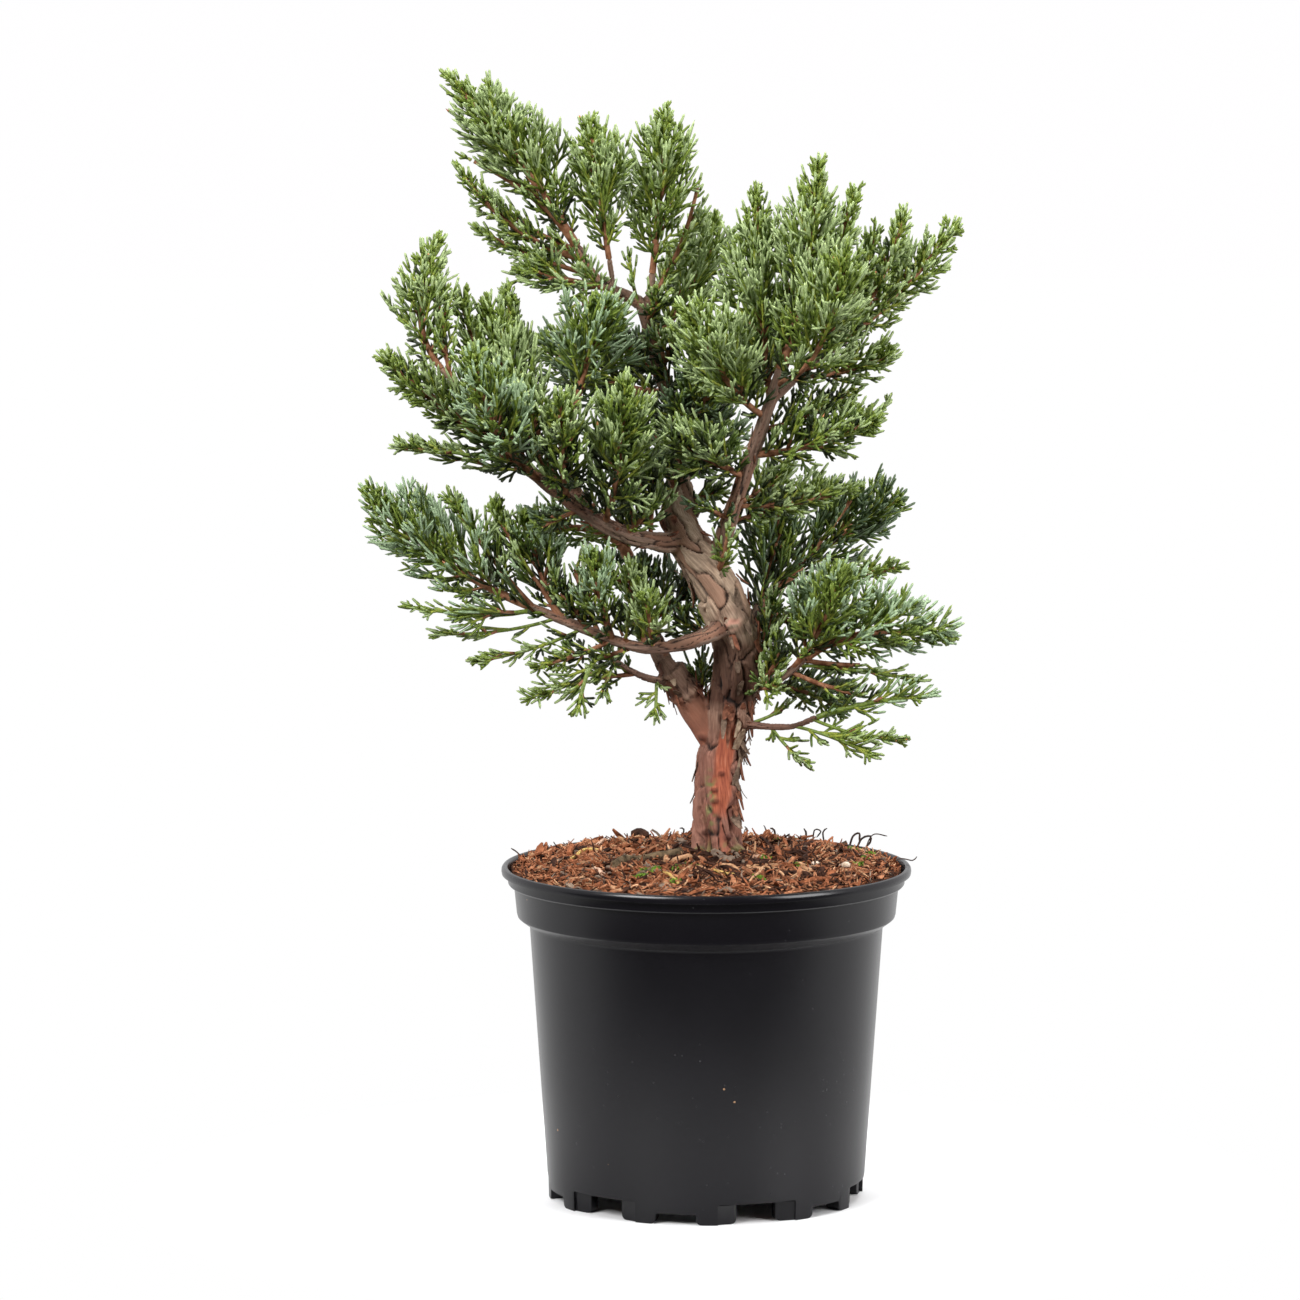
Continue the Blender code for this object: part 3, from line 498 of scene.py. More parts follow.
bed_rings = round(MIX_EDGE_R / RING_STEP) - 1
bed_profile = [(2 + RING_STEP * ring, MIX_TOP_Z) for ring in range(bed_rings)]
bed_profile += [(MIX_EDGE_R, MIX_EDGE_Z), *MIX_SIDES_DOWN]
bed = ringed("mix_bed", bed_profile, MIX_SIDES)
places = coordinates(bed.data)
across = (places - np.array(POT_AXIS)) / MM
upper = across[:, 2] > MIX_EDGE_Z - 1
across[upper, 2] = mix_height(across[upper, 0], across[upper, 1])
grain = np.stack([across[:, 0], across[:, 1], across[:, 2] * 0], axis=-1)
across[upper, 2] += CRUMBS[0] * (noise(grain / CRUMBS[1], CRUMBS[2])[upper] - 0.5)
set_coordinates(bed.data, across * MM + np.array(POT_AXIS))


def mottled(nodes, links, shader, patch, grain, led_by, stops, bump):
    """Colours led by a mottle's patches or its grain, and relief by its grain."""
    place = nodes.new("ShaderNodeTexCoord")
    pattern = use_group(nodes, mottle, **{"Patch Scale": patch, "Grain Scale": grain})
    tones = colour_stops(nodes, stops)
    links.new(place.outputs["Object"], pattern.inputs["Vector"])
    links.new(pattern.outputs[led_by], tones.inputs["Fac"])
    links.new(tones.outputs["Color"], shader.inputs["Base Color"])
    add_bump(nodes, links, shader, pattern.outputs["Grain"], *bump)


EARTH_TONES = ((0.3, (0.012, 0.005, 0.003)), (0.5, (0.06, 0.022, 0.011)), (0.72, (0.17, 0.07, 0.034)))


def earth():
    """The dark, crumbly ground between the chips."""
    made, shader, nodes, links = new_material("bark_crumb", (0.07, 0.03, 0.02), 0.95)
    shader.inputs["Specular IOR Level"].default_value = 0.1
    mottled(nodes, links, shader, 160.0, 1500.0, "Patch", EARTH_TONES, (0.8, 1.0))
    return made


bed.data.materials.append(earth())
bpy.ops.object.shade_smooth()
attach(bed, "root")
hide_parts("potting_mix")


def natural(name, dark, light, roughness, patch=300.0):
    """A rough natural surface between two tones of one colour."""
    made, shader, nodes, links = new_material(name, light, roughness)
    shader.inputs["Specular IOR Level"].default_value = 0.15
    mottled(nodes, links, shader, patch, 2500.0, "Patch", ((0.32, dark), (0.66, light)), (0.5, 0.3))
    return made


def array_mesh(name, points, faces, slots, materials, smooth=True):
    """A mesh object from an array of points (metres) and a list of (faces, slot) arrays."""
    mesh = bpy.data.meshes.new(name)
    sizes = np.concatenate([np.full(len(block), block.shape[1]) for block in faces])
    corners = np.concatenate([block.ravel() for block in faces])
    mesh.vertices.add(len(points))
    mesh.vertices.foreach_set("co", points.astype(np.float32).ravel())
    mesh.loops.add(len(corners))
    mesh.loops.foreach_set("vertex_index", corners.astype(np.int32))
    mesh.polygons.add(len(sizes))
    starts = np.concatenate([[0], np.cumsum(sizes)[:-1]])
    mesh.polygons.foreach_set("loop_start", starts.astype(np.int32))
    mesh.polygons.foreach_set("loop_total", sizes.astype(np.int32))
    mesh.polygons.foreach_set("material_index", np.concatenate(slots).astype(np.int32))
    mesh.polygons.foreach_set("use_smooth", np.full(len(sizes), smooth))
    mesh.update(calc_edges=True)
    mesh.validate()
    for surface in materials:
        mesh.materials.append(surface)
    made = bpy.data.objects.new(name, mesh)
    bpy.context.scene.collection.objects.link(made)
    return made


def unit(vectors):
    """Each row at a length of one."""
    return vectors / np.maximum(np.linalg.norm(vectors, axis=-1, keepdims=True), 1e-12)


def ring_faces(first, rings, sides):
    """The quads between the rings of many like tubes, whose points follow the rows of first."""
    blocks = []
    for ring in range(rings - 1):
        base = ring * sides
        for corner in range(sides):
            after = (corner + 1) % sides
            blocks.append(first + np.array([base + corner, base + after,
                                            base + sides + after, base + sides + corner]))
    return blocks


def end_faces(first, rings, sides):
    """The faces that close those tubes, first ring and last."""
    ring = np.arange(sides)
    return [first + ring[::-1], first + (rings - 1) * sides + ring]


def slabs(name, places, along, up, length, width, thick, bow, tint, materials):
    """Many bent, ragged-ended slivers in one mesh: places and sizes in metres, one row each."""
    count = len(places)
    side = unit(np.cross(up, along))
    up = np.cross(along, side)
    rings = np.array([-0.5, -0.2, 0.2, 0.5])
    fullness = np.array([0.35, 1.0, 0.9, 0.3])
    corners = np.array([(-0.5, -0.5), (0.5, -0.5), (0.5, 0.5), (-0.5, 0.5)])
    points = np.empty((count, len(rings), len(corners), 3))
    for ring, (share, full) in enumerate(zip(rings, fullness)):
        middle = places + along * (length * share)[:, None]
        middle = middle - up * (bow * length * share ** 2 * 2)[:, None]
        for corner, (across_share, up_share) in enumerate(corners):
            points[:, ring, corner] = (middle + side * (width * across_share * full)[:, None]
                                       + up * (thick * up_share)[:, None])
    first = np.arange(count)[:, None] * len(rings) * len(corners)
    blocks = ring_faces(first, len(rings), len(corners)) + end_faces(first, len(rings), len(corners))
    return array_mesh(name, points.reshape(-1, 3), blocks, [tint] * len(blocks), materials,
                      smooth=False)


FOOT_CLEAR = 12.0           # no chip lies nearer than this to the middle of the trunk's foot


def scatter_places(dice, count, reach):
    """Random places on the mix as x, y from the pot's axis, clear of the trunk's foot."""
    radius = reach * np.sqrt(dice.uniform(0, 1, count * 2))
    angle = dice.uniform(0, math.tau, count * 2)
    x, y = radius * np.cos(angle), radius * np.sin(angle)
    free = np.hypot(x - TRUNK_FOOT[0], y - TRUNK_FOOT[1]) > FOOT_CLEAR
    return x[free][:count], y[free][:count]


CHIP_TONES = (              # dark and light tone of each kind of chip
    ("rust", (0.075, 0.022, 0.009), (0.33, 0.115, 0.05)),
    ("cinnamon", (0.14, 0.05, 0.024), (0.46, 0.2, 0.1)),
    ("dark", (0.014, 0.006, 0.004), (0.065, 0.026, 0.015)),
    ("tan", (0.25, 0.12, 0.055), (0.6, 0.35, 0.2)),
    ("grey", (0.09, 0.06, 0.045), (0.26, 0.19, 0.14)),
)
chip_stuff = [natural(tone + "_chip", dark, light, 0.85) for tone, dark, light in CHIP_TONES]
DARK_CHIP = 2
CHIP_SHADE_AT = (22.0, -24.0)     # painted shade: more of the chips are dark in front of the trunk
CHIP_SHADE_R = 46.0
dice = np.random.default_rng(21)


def lay_chips(name, count, lengths, widths, thicks, tilt, sunk, shares, reach):
    """Chips lying on the bed, tilted at random, some half buried."""
    x, y = scatter_places(dice, count, reach)
    count = len(x)
    length = dice.gamma(4, 0.25, count) * (lengths[1] - lengths[0]) / 2 + lengths[0]
    length = np.minimum(length, lengths[1] * 1.2)
    width = dice.uniform(*widths, count)
    thick = dice.uniform(*thicks, count)
    heading = dice.uniform(0, math.tau, count)
    rise = dice.normal(0, tilt, count)
    out = np.hypot(x, y)
    near_wall = out + length / 2 > reach
    along_wall = np.arctan2(y, x)[near_wall] + math.pi / 2
    heading[near_wall] = along_wall + dice.normal(0, 0.2, near_wall.sum())
    rise = np.clip(rise, -1.1, 1.1)
    along = np.stack([np.cos(rise) * np.cos(heading), np.cos(rise) * np.sin(heading),
                      np.sin(rise)], axis=-1)
    lean = dice.normal(0, 0.45, (count, 3)) * (1, 1, 0) + (0, 0, 1)
    z = mix_height(x, y) + 0.4 + np.abs(np.sin(rise)) * length * 0.3 - sunk * dice.uniform(0, 1, count)
    middle = np.stack([x, y, z], axis=-1) * MM + np.array(POT_AXIS)
    tint = dice.choice(len(shares), count, p=shares)
    # painted shade: in patches in front of the trunk, more chips take the dark tint
    chip_shade = np.exp(-((x - CHIP_SHADE_AT[0]) ** 2 + (y - CHIP_SHADE_AT[1]) ** 2) / CHIP_SHADE_R ** 2)
    flat = np.stack([x, y, x * 0], axis=-1)
    chip_shade *= 0.85 * np.clip(3 * noise(flat / 11, 15) - 0.7, 0, 1)
    tint = np.where(dice.uniform(0, 1, count) < chip_shade, DARK_CHIP, tint)
    return slabs(name, middle, along, unit(lean), length * MM, width * MM, thick * MM,
                 dice.uniform(-0.1, 0.35, count), tint, chip_stuff)


coir = lay_chips("coir_slivers", 6800, (1.8, 8.0), (0.35, 1.0), (0.25, 0.55), 0.42, 0.6,
                 (0.42, 0.3, 0.13, 0.1, 0.05), reach=89.4)
bark_bits = lay_chips("bark_chips", 1300, (3.5, 11.0), (1.2, 3.0), (0.5, 1.2), 0.3, 0.5,
                      (0.36, 0.27, 0.17, 0.11, 0.09), reach=87.8)
for chips in (coir, bark_bits):
    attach(chips, "root")


def curve_path(knots, spacing):
    """Rows of (x, y, z, radius) along a smooth curve through the knots."""
    knots = np.array(knots, float)
    chain = np.vstack([2 * knots[0] - knots[1], knots, 2 * knots[-1] - knots[-2]])
    rows = []
    for a, b, c, d in zip(chain, chain[1:], chain[2:], chain[3:]):
        count = max(1, round(np.linalg.norm((c - b)[:3]) / spacing))
        for t in np.arange(count) / count:
            rows.append(0.5 * (2 * b + (c - a) * t + (2 * a - 5 * b + 4 * c - d) * t * t
                               + (3 * b - a - 3 * c + d) * t ** 3))
    rows.append(knots[-1])
    return np.array(rows)


POT_MM = np.array(POT_AXIS) / MM


def tube_object(name, path, resolution):
    """A curve with a round bevel that follows a path, made a mesh."""
    data = bpy.data.curves.new(name, "CURVE")
    data.dimensions = "3D"
    data.bevel_depth = MM
    data.bevel_resolution = resolution
    data.use_fill_caps = True
    spline = data.splines.new("POLY")
    spline.points.add(len(path) - 1)
    for point, (x, y, z, radius) in zip(spline.points, path):
        point.co = (*((np.array((x, y, z)) + POT_MM) * MM), 1)
        point.radius = radius
    made = bpy.data.objects.new(name, data)
    bpy.context.scene.collection.objects.link(made)
    only(made)
    bpy.ops.object.convert(target="MESH")
    return bpy.context.object


def join(pieces, name):
    """Many objects made one, each with its own materials."""
    bpy.ops.object.select_all(action="DESELECT")
    for piece in pieces:
        piece.select_set(True)
    bpy.context.view_layer.objects.active = pieces[0]
    bpy.ops.object.join()
    made = bpy.context.object
    made.name = name
    return made


# Bigger bits lie on top: straws, slivers of bark and a mossed root, wiry old roots that stand
# up at the back, tufts of moss, and a few stones.
LITTER = (                  # tone, radius, then x, y and height above the mix, in millimetres
    ("mossed", 2.3, ((-43, -30, 1.2), (-38, -22, 1.2), (-28, -12, 1.2), (-19, -6, 1.2), (-11, -3, 1.2))),
    ("dark", 3.2, ((-34, 70, 1.8), (-31, 72, 3.0), (-27, 71, 1.6))),
    ("straw", 0.8, ((-63, -6, 1.2), (-60, 6, 1.8), (-56, 12, 2.0), (-52, 14, 1.8), (-49, 13, 1.4))),
    ("pale", 1.0, ((-52, 32, 1.2), (-50, 44, 1.4), (-45, 54, 1.2))),
    ("tan", 1.5, ((-19, -32, 1.6), (-15, -20, 2.0), (-7, -12, 1.6))),
    ("tan", 0.7, ((-11, -50, 1.2), (-8, -39, 1.4), (-5, -26, 1.2))),
    ("tan", 0.9, ((-6, -28, 1.2), (-1, -44, 1.2))),
    ("straw", 0.8, ((2, -48, 1.2), (6, -55, 1.4), (13, -54, 1.2))),
    ("tan", 0.8, ((5, -27, 1.0), (10, -36, 1.2), (14, -45, 1.0))),
    ("pale", 1.1, ((-52, -30, 1.2), (-49, -40, 1.4), (-47, -50, 1.2))),
    ("mossed", 1.2, ((-32, -54, 1.2), (-27, -46, 1.2), (-22, -38, 1.2))),
    ("grey", 2.0, ((3, -6, 1.4), (7, -15, 1.6), (12, -28, 1.4))),
    ("grey", 0.9, ((12, 0, 1.8), (14, -12, 1.6), (17, -30, 1.2))),
    ("rust", 1.2, ((32, 20, 1.6), (33, 3, 2.2), (34, -13, 1.6))),
    ("tan", 0.6, ((19, -72, 2.0), (23, -58, 2.4), (26, -44, 2.8), (31, -46, 2.2), (35, -52, 1.6))),
    ("dark", 1.2, ((40, 24, 1.0), (47, 30, 1.2), (52, 38, 1.0))),
    ("rust", 2.2, ((50, 60, 1.2), (58, 52, 1.4), (64, 40, 1.2))),
    ("tan", 1.0, ((41, -21, 1.2), (44, -29, 1.4), (48, -36, 1.2))),
    ("straw", 0.7, ((-20, -47, 1.2), (-16, -60, 1.4), (-13, -72, 1.2))),
    ("dark", 1.4, ((33, -46, 1.0), (40, -43, 1.2), (46, -49, 1.0))),
    ("rust", 1.3, ((42, -62, 1.0), (49, -59, 1.2), (57, -54, 1.0))),
    ("dark", 1.0, ((6, -40, 1.4), (10, -42, 1.6), (14, -49, 1.4))),
    ("pale", 1.3, ((21, -12, 1.4), (26, -11, 1.4))),
    ("rust", 1.6, ((-64, 9, 1.4), (-62, 20, 2.0), (-59, 34, 1.4))),
    ("root", 0.4, ((20, 82, -1), (20, 82, 5.5), (19, 82, 6.5))),
    ("root", 0.5, ((34, 79, -1), (33, 79, 5.1), (31, 79, 5.9))),
    ("root", 0.3, ((28, 80, -1), (29, 80, 5.1), (28, 80, 7.5))),
    ("root", 0.5, ((48, 75, -1), (48, 75, 5.9), (47, 75, 7.3))),
    ("root", 0.35, ((51, 73, -1), (52, 73, 7.2), (55, 73, 6.7), (53, 73, 3.8))),
    ("root", 0.4, ((57, 72, -1), (56, 72, 6.3), (58, 72, 8.2))),
    ("root", 0.5, ((68, 64, -1), (70, 64, 5.3), (73, 64, 6.7), (73, 64, 2.9))),
    ("root", 0.5, ((71, 58, -1), (74, 58, 5.2), (78, 58, 6.4), (78, 58, 3.6), (76, 58, 1.3))),
    ("root", 0.3, ((75, 55, -1), (79, 57, 7.0), (86, 58, 6.4))),
    ("root", 0.3, ((84, 8, -1), (90, 8, 3.2), (96, 8, 2.6), (98, 8, 4.5))),
    ("root", 0.35, ((-84, 22, -1), (-88, 22, 3.8), (-91, 22, 6.0))),
    ("root", 0.4, ((-11, 83, -1), (-10, 83, 4.4), (-12, 83, 5.0))),
    ("root", 0.4, ((-38, 77, -1), (-37, 77, 2.1), (-37, 77, 4.1))),
)
MOSS_AT = ((65, 54), (77, 31), (73, 38), (69, 42), (26, -12), (42, -26), (-14, -41), (-6, -32),
           (-29, -45), (-14, -67), (42, 73), (74, 9), (23, -60), (34, 42), (70, -17), (-31, -57),
           (-24, -45))
STONES = ((60, 24, 1.5), (50, -23, 1.6), (64, -22, 1.9), (-8, 60, 1.3))   # x, y, radius
LITTER_STEP = 1.2
LITTER_TIP = 0.55           # how thin a bit's ends are, against its middle
MOSS_BITS = 22              # in each tuft
litter_tones = {tone: chip_stuff[number] for number, (tone, _, _) in enumerate(CHIP_TONES)}
litter_tones["mossed"] = natural("mossed_root", (0.03, 0.022, 0.012), (0.19, 0.13, 0.075), 0.9)
litter_tones["straw"] = natural("yellow_straw", (0.32, 0.19, 0.05), (0.62, 0.42, 0.14), 0.6)
litter_tones["pale"] = natural("pale_wood", (0.36, 0.2, 0.13), (0.7, 0.47, 0.34), 0.8)
litter_tones["root"] = natural("root_hair", (0.02, 0.013, 0.01), (0.09, 0.06, 0.05), 0.8)
moss_green = natural("moss", (0.03, 0.07, 0.008), (0.17, 0.28, 0.035), 0.9)
stone_grit = natural("stone", (0.42, 0.31, 0.22), (0.78, 0.66, 0.54), 0.7)
litter = []
for tone, radius, knots in LITTER:
    rows = curve_path([(*knot, radius) for knot in knots], LITTER_STEP)
    rows[:, 2] += mix_height(rows[:, 0], rows[:, 1])
    rows[(0, -1), 3] *= LITTER_TIP
    bit = tube_object("bit", rows, 2)
    bit.data.materials.append(litter_tones[tone])
    litter.append(bit)
for x, y, radius in STONES:
    height = float(mix_height(np.array(x), np.array(y))) + 0.5 * radius
    bpy.ops.mesh.primitive_ico_sphere_add(subdivisions=2, radius=radius * MM,
                                          location=POT_AXIS + Vector((x, y, height)) * MM)
    stone = bpy.context.object
    stone.scale = (1.2, 1, 0.8)
    bpy.ops.object.transform_apply(location=True, rotation=True, scale=True)
    stone.data.materials.append(stone_grit)
    litter.append(stone)
moss_xy = np.repeat(np.array(MOSS_AT, float), MOSS_BITS, axis=0)
moss_xy += dice.normal(0, 1.2, moss_xy.shape)
moss_z = mix_height(moss_xy[:, 0], moss_xy[:, 1]) + 1.3
moss_way = unit(dice.normal(0, 1, (len(moss_xy), 3)) + (0, 0, 1.2))
moss_places = np.column_stack([moss_xy, moss_z]) * MM + np.array(POT_AXIS)
bits = np.ones(len(moss_xy))
litter.append(slabs("moss", moss_places, moss_way, unit(moss_way[:, [1, 2, 0]]), 2.2 * MM * bits,
                    0.6 * MM * bits, 0.6 * MM * bits, 0 * bits, np.zeros(len(bits), int),
                    [moss_green]))
litter = join(litter, "litter")
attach(litter, "root")


# ---- The wood -----------------------------------------------------------------------------
# Trunk and boughs have grown together, so their tubes are fused into one skin before the bark
# is worked into it: twisted fibres, long plates that lift at their edges, and smooth cinnamon
# underbark where a plate has come away.
LIMBS = {                   # name: the limb it grows from, then knots (x, y, z, radius)
    "trunk": (None, [(5, 8, 158.7, 13.6), (5, 8, 168, 11.7), (6, 8, 200, 10.6), (11, 6, 229, 10.9),
                     (14, -2, 258, 11.3), (5, -4, 285, 11), (-11, 4, 310, 9.4), (-13, 20, 330, 7)]),
    "leader": ("trunk", [(-13, 20, 330, 5.8), (-13, 29, 354, 4.6), (-22, 31, 385, 3.7),
                         (-30, 22, 414, 3.2)]),
    "top_left_bough": ("leader", [(-30, 22, 414, 3), (-50, 18, 425, 2.6), (-60, 15, 441, 2.3)]),
    "top_mid_shoot": ("top_left_bough", [(-43, 19, 422, 1.7), (-45, 17, 435, 1.4)]),
    "top_right_shoot": ("leader", [(-28, 24, 402, 2.1), (-25, 23, 428, 1.7)]),
    "right_bough": ("trunk", [(4, -4, 288, 5.6), (8, -9, 309, 4.3), (17, -14, 337, 3.8),
                              (34, -13, 386, 2.9)]),
    "right_wing_bough": ("right_bough", [(29, -14, 372, 2.6), (46, -5, 386, 2.3), (63, 5, 398, 2)]),
    "left_bough": ("trunk", [(-9, 3, 306, 5.8), (-22, -6, 306, 4.9), (-45, -13, 314, 4.2),
                             (-86, -23, 344, 3)]),
    "left_crest_bough": ("left_bough", [(-79, -21, 339, 2.1), (-99, -31, 363, 1.8),
                                        (-121, -31, 388, 1.5)]),
    "center_left_bough": ("left_bough", [(-54, -15, 320, 2.6), (-65, -12, 344, 2.3),
                                         (-60, -8, 370, 1.9)]),
    "second_stem": ("trunk", [(5, 8, 211, 8), (-4, 8, 225, 7.9), (-17, 4, 246, 7)]),
    "inner_left_bough": ("second_stem", [(-12, 6, 238, 5), (-22, 6, 254, 4.4), (-36, 26, 295, 3)]),
    "low_left_bough": ("trunk", [(9, -3, 271, 4.8), (0, -17, 264, 3.8), (-32, -18, 259, 2.9),
                                 (-82, -10, 277, 2.1)]),
    "low_left_shoot": ("second_stem", [(-13, 5, 240, 2.4), (-28, -4, 243, 1.9),
                                       (-44, -14, 253, 1.4)]),
    "low_right_bough": ("trunk", [(12, 3, 236, 3.6), (32, -6, 242, 2.6), (46, -10, 253, 2.1)]),
    "low_right_shoot": ("trunk", [(8, 7, 221, 3), (37, -4, 220, 1.7), (51, -8, 225, 1.4)]),
    "rear_right_bough": ("trunk", [(12, 0, 252, 4), (25, 23, 272, 3.2), (37, 33, 284, 2.7)]),
}


def carried_frames(path):
    """Tangent and two normals at each row of a path, turned as little as possible."""
    tangents = unit(np.gradient(path[:, :3], axis=0))
    ahead = np.cross(tangents[0], (0, 1, 0.01))
    first = [unit(ahead)]
    for tangent in tangents[1:]:
        first.append(unit(first[-1] - tangent * first[-1].dot(tangent)))
    first = np.array(first)
    return tangents, first, np.cross(tangents, first)


def lengths_along(path):
    """Each row's distance from the path's start."""
    steps = np.linalg.norm(np.diff(path[:, :3], axis=0), axis=1)
    return np.concatenate([[0], np.cumsum(steps)])


def at_share(path, shares):
    """Rows, and unit tangents, at shares of a path's length."""
    distance = lengths_along(path)
    wanted = np.asarray(shares) * distance[-1]
    rows = np.stack([np.interp(wanted, distance, path[:, axis]) for axis in range(4)], axis=-1)
    tangents = unit(np.gradient(path[:, :3], axis=0))
    onward = np.stack([np.interp(wanted, distance, tangents[:, axis]) for axis in range(3)], axis=-1)
    return rows, unit(onward)


LIMB_STEP = 2.0
SKIN_VOXEL = 0.75
FLARE = (0, 0, -7.0, 1.5)   # the trunk's tube starts this far down in the mix, and wider
paths = {name: curve_path(knots, LIMB_STEP) for name, (_, knots) in LIMBS.items()}
tubes = []
for name, path in paths.items():
    if name == "trunk":
        tubes.append(tube_object(name, np.vstack([path[0] + FLARE, path]), 10))
    else:
        tubes.append(tube_object(name, path, 5))
wood = join(tubes, "bark_skin")
fuse = wood.modifiers.new("fuse", "REMESH")
fuse.mode = "VOXEL"
fuse.voxel_size = SKIN_VOXEL * MM
soften = wood.modifiers.new("soften", "SMOOTH")
soften.factor = 0.5
soften.iterations = 4
apply_modifiers(wood)


def on_limbs(places):
    """For each place in millimetres: limb number, distance along it, angle, and how far out."""
    rows, owner, along, frames = [], [], [], []
    for number, path in enumerate(paths.values()):
        rows.append(path)
        owner.append(np.full(len(path), number))
        along.append(lengths_along(path))
        frames.append(np.stack(carried_frames(path), axis=1))
    rows, owner = np.vstack(rows), np.concatenate(owner)
    along, frames = np.concatenate(along), np.concatenate(frames)
    nearest = np.empty(len(places), int)
    for start in range(0, len(places), 4000):
        block = places[start:start + 4000]
        away = np.linalg.norm(block[:, None] - rows[None, :, :3], axis=2) / rows[None, :, 3]
        nearest[start:start + 4000] = away.argmin(axis=1)
    out = places - rows[nearest, :3]
    tangent, first, second = (frames[nearest, axis] for axis in range(3))
    further = (out * tangent).sum(1)
    out = out - tangent * further[:, None]
    angle = np.arctan2((out * second).sum(1), (out * first).sum(1))
    return owner[nearest], along[nearest] + further, angle, rows[nearest, 3], unit(out)


def plates(around, along, count, seed):
    """Bark plates as cells that wrap a limb: each one's number, edge distance and place up it."""
    best = np.full(around.shape, 9.0)
    second = np.full(around.shape, 9.0)
    tone = np.zeros(around.shape)
    up_plate = np.zeros(around.shape)
    cell_u, cell_v = np.floor(around).astype(int), np.floor(along).astype(int)
    for du in (-1, 0, 1):
        for dv in (-1, 0, 1):
            u, v = cell_u + du, cell_v + dv
            key = np.stack([np.mod(u, count), v, np.zeros_like(u)], axis=-1)
            place_u, place_v = u + lattice(key, seed), v + lattice(key, seed + 1)
            away = np.hypot(around - place_u, along - place_v)
            closer = away < best
            second = np.where(closer, best, np.minimum(second, away))
            tone = np.where(closer, lattice(key, seed + 2), tone)
            up_plate = np.where(closer, along - place_v, up_plate)
            best = np.where(closer, away, best)
    return tone, second - best, up_plate


def ramp_up(values, start, end):
    """0 before start, 1 after end, and straight between."""
    return np.clip((values - start) / (end - start), 0, 1)


def band(values, low, high, rise, fall):
    """1 from low to high, and 0 beyond, with a soft edge inside each end."""
    return ramp_up(values, low, low + rise) * ramp_up(-values, -high, fall - high)


PLATE_COUNT = 9             # plates round a limb
PLATE_L = 26.0
TWIST = 0.014               # turn of the fibres, in radians per millimetre
FRONT = math.pi / 2         # the angle round the trunk that faces the front
STREAK_AT = FRONT + 0.16    # bare cinnamon streak, low on the trunk's front
STREAK_HALF = 0.44
STREAK_Z = (176, 222)
RIDGE_FROM = (3.4, 241.0)   # a fold of bark winds down the trunk: x and height of its ends
RIDGE_TO = (15.5, 222.0)
BOUGH_SHADE_Z = (226, 266)         # painted shade on the part above it, under the low left bough
MOSS_X = 1.5                # a thin line of moss runs up the front,
MOSS_HALF = 2.4
MOSS_Z = (168, 202)         # between these heights
KNOTS = (                   # place, radius, rise
    ((7.2, -3.2, 197.6), 1.9, 1.1), ((3.5, -3.0, 190.1), 1.7, 1.2), ((4.0, -3.0, 185.0), 1.9, 1.1),
    ((-2.5, 0, 214.0), 2.6, 1.6), ((-1.0, -1.0, 170.0), 2.2, 1.2), ((11.0, -2.6, 168.0), 2.6, 1.3),
)
SCAR = ((11.5, -13.0, 270.0), 6.5, 2.4)
STUB_COLLAR = 27.0          # distance up the second stem where its smooth bark ends
PLATE_RISE = 1.5            # how far the highest plates stand out, in millimetres,
PLATE_LIFT = 1.0            # how far each one lifts towards its top,
SMALL_RISE = 0.5            # and the small plates on them
CRACK_DEPTH = 1.7
SMALL_CRACK_DEPTH = 0.5
FIBRE_RISE = 1.25
FINE_RISE = 0.6
LUMP_RISE = 1.6
RIDGE_RISE = 1.7
MEAN_RISE = 1.35            # taken off, so that the bark stands on the limb's own radius
FLUTES = 5                  # shallow flutes round the trunk,
FLUTE_DEPTH = 0.06          # as a share of its radius,
FOOT_FLUTES = (158, 180)    # and deeper at its foot, between these heights
CALM_Z = (240, 256)         # the plates turn flat and tan from here up
SLIM_Z = (215, 235)         # and below this the trunk is a little slimmer
SLIM = 0.6
places = coordinates(wood.data) / MM - POT_MM
limb, along, angle, radius, outward = on_limbs(places)
height_z = places[:, 2]
is_trunk = limb == 0
is_stem = limb == list(LIMBS).index("second_stem")
turned_angle = angle + along * TWIST
warp = np.stack([np.cos(turned_angle) * 1.6, np.sin(turned_angle) * 1.6, along / 7 + limb], axis=-1)
around = np.mod(turned_angle, math.tau) / math.tau * PLATE_COUNT + (noise(warp, 31) - 0.5) * 0.9
lengthwise = along / PLATE_L + limb * 7.3 + (noise(warp * 1.7, 32) - 0.5) * 0.25
tone, border, up_plate = plates(around, lengthwise, PLATE_COUNT, 40)
small_tone, small_border, _ = plates(around * 2, lengthwise * 1.9, PLATE_COUNT * 2, 60)
fibre_place = np.stack([np.cos(turned_angle) * radius / 1.1, np.sin(turned_angle) * radius / 1.1,
                        along / 11 + limb * 3.1], axis=-1)
fibre = noise(fibre_place, 50) - 0.5
fine = noise(fibre_place * (2.4, 2.4, 2.0), 51) - 0.5
lump = noise(places / 9, 52) - 0.5

off_streak = np.abs(np.mod(angle - STREAK_AT + math.pi, math.tau) - math.pi)
up_only = np.stack([along / 8, along * 0, along * 0], axis=-1)
streak_edge = STREAK_HALF * (0.75 + 0.5 * noise(up_only, 53))
in_streak = ramp_up(streak_edge - off_streak, -0.04, 0.1) * is_trunk
in_streak *= band(height_z, *STREAK_Z, 6, 6)
smooth_stem = is_stem * ramp_up(-along, -STUB_COLLAR, -STUB_COLLAR + 3)
lost = ramp_up(-tone, -0.3, -0.24) * np.where(is_trunk, 0.75, 0.85)
bare = np.maximum(np.maximum(in_streak, smooth_stem * 0.85), lost)
crack_width = np.where(is_trunk & (height_z > sum(CALM_Z) / 2), 0.1, 0.17)
crack = ramp_up(-border / crack_width, -1, -0.12) * (1 - np.maximum(in_streak, smooth_stem))
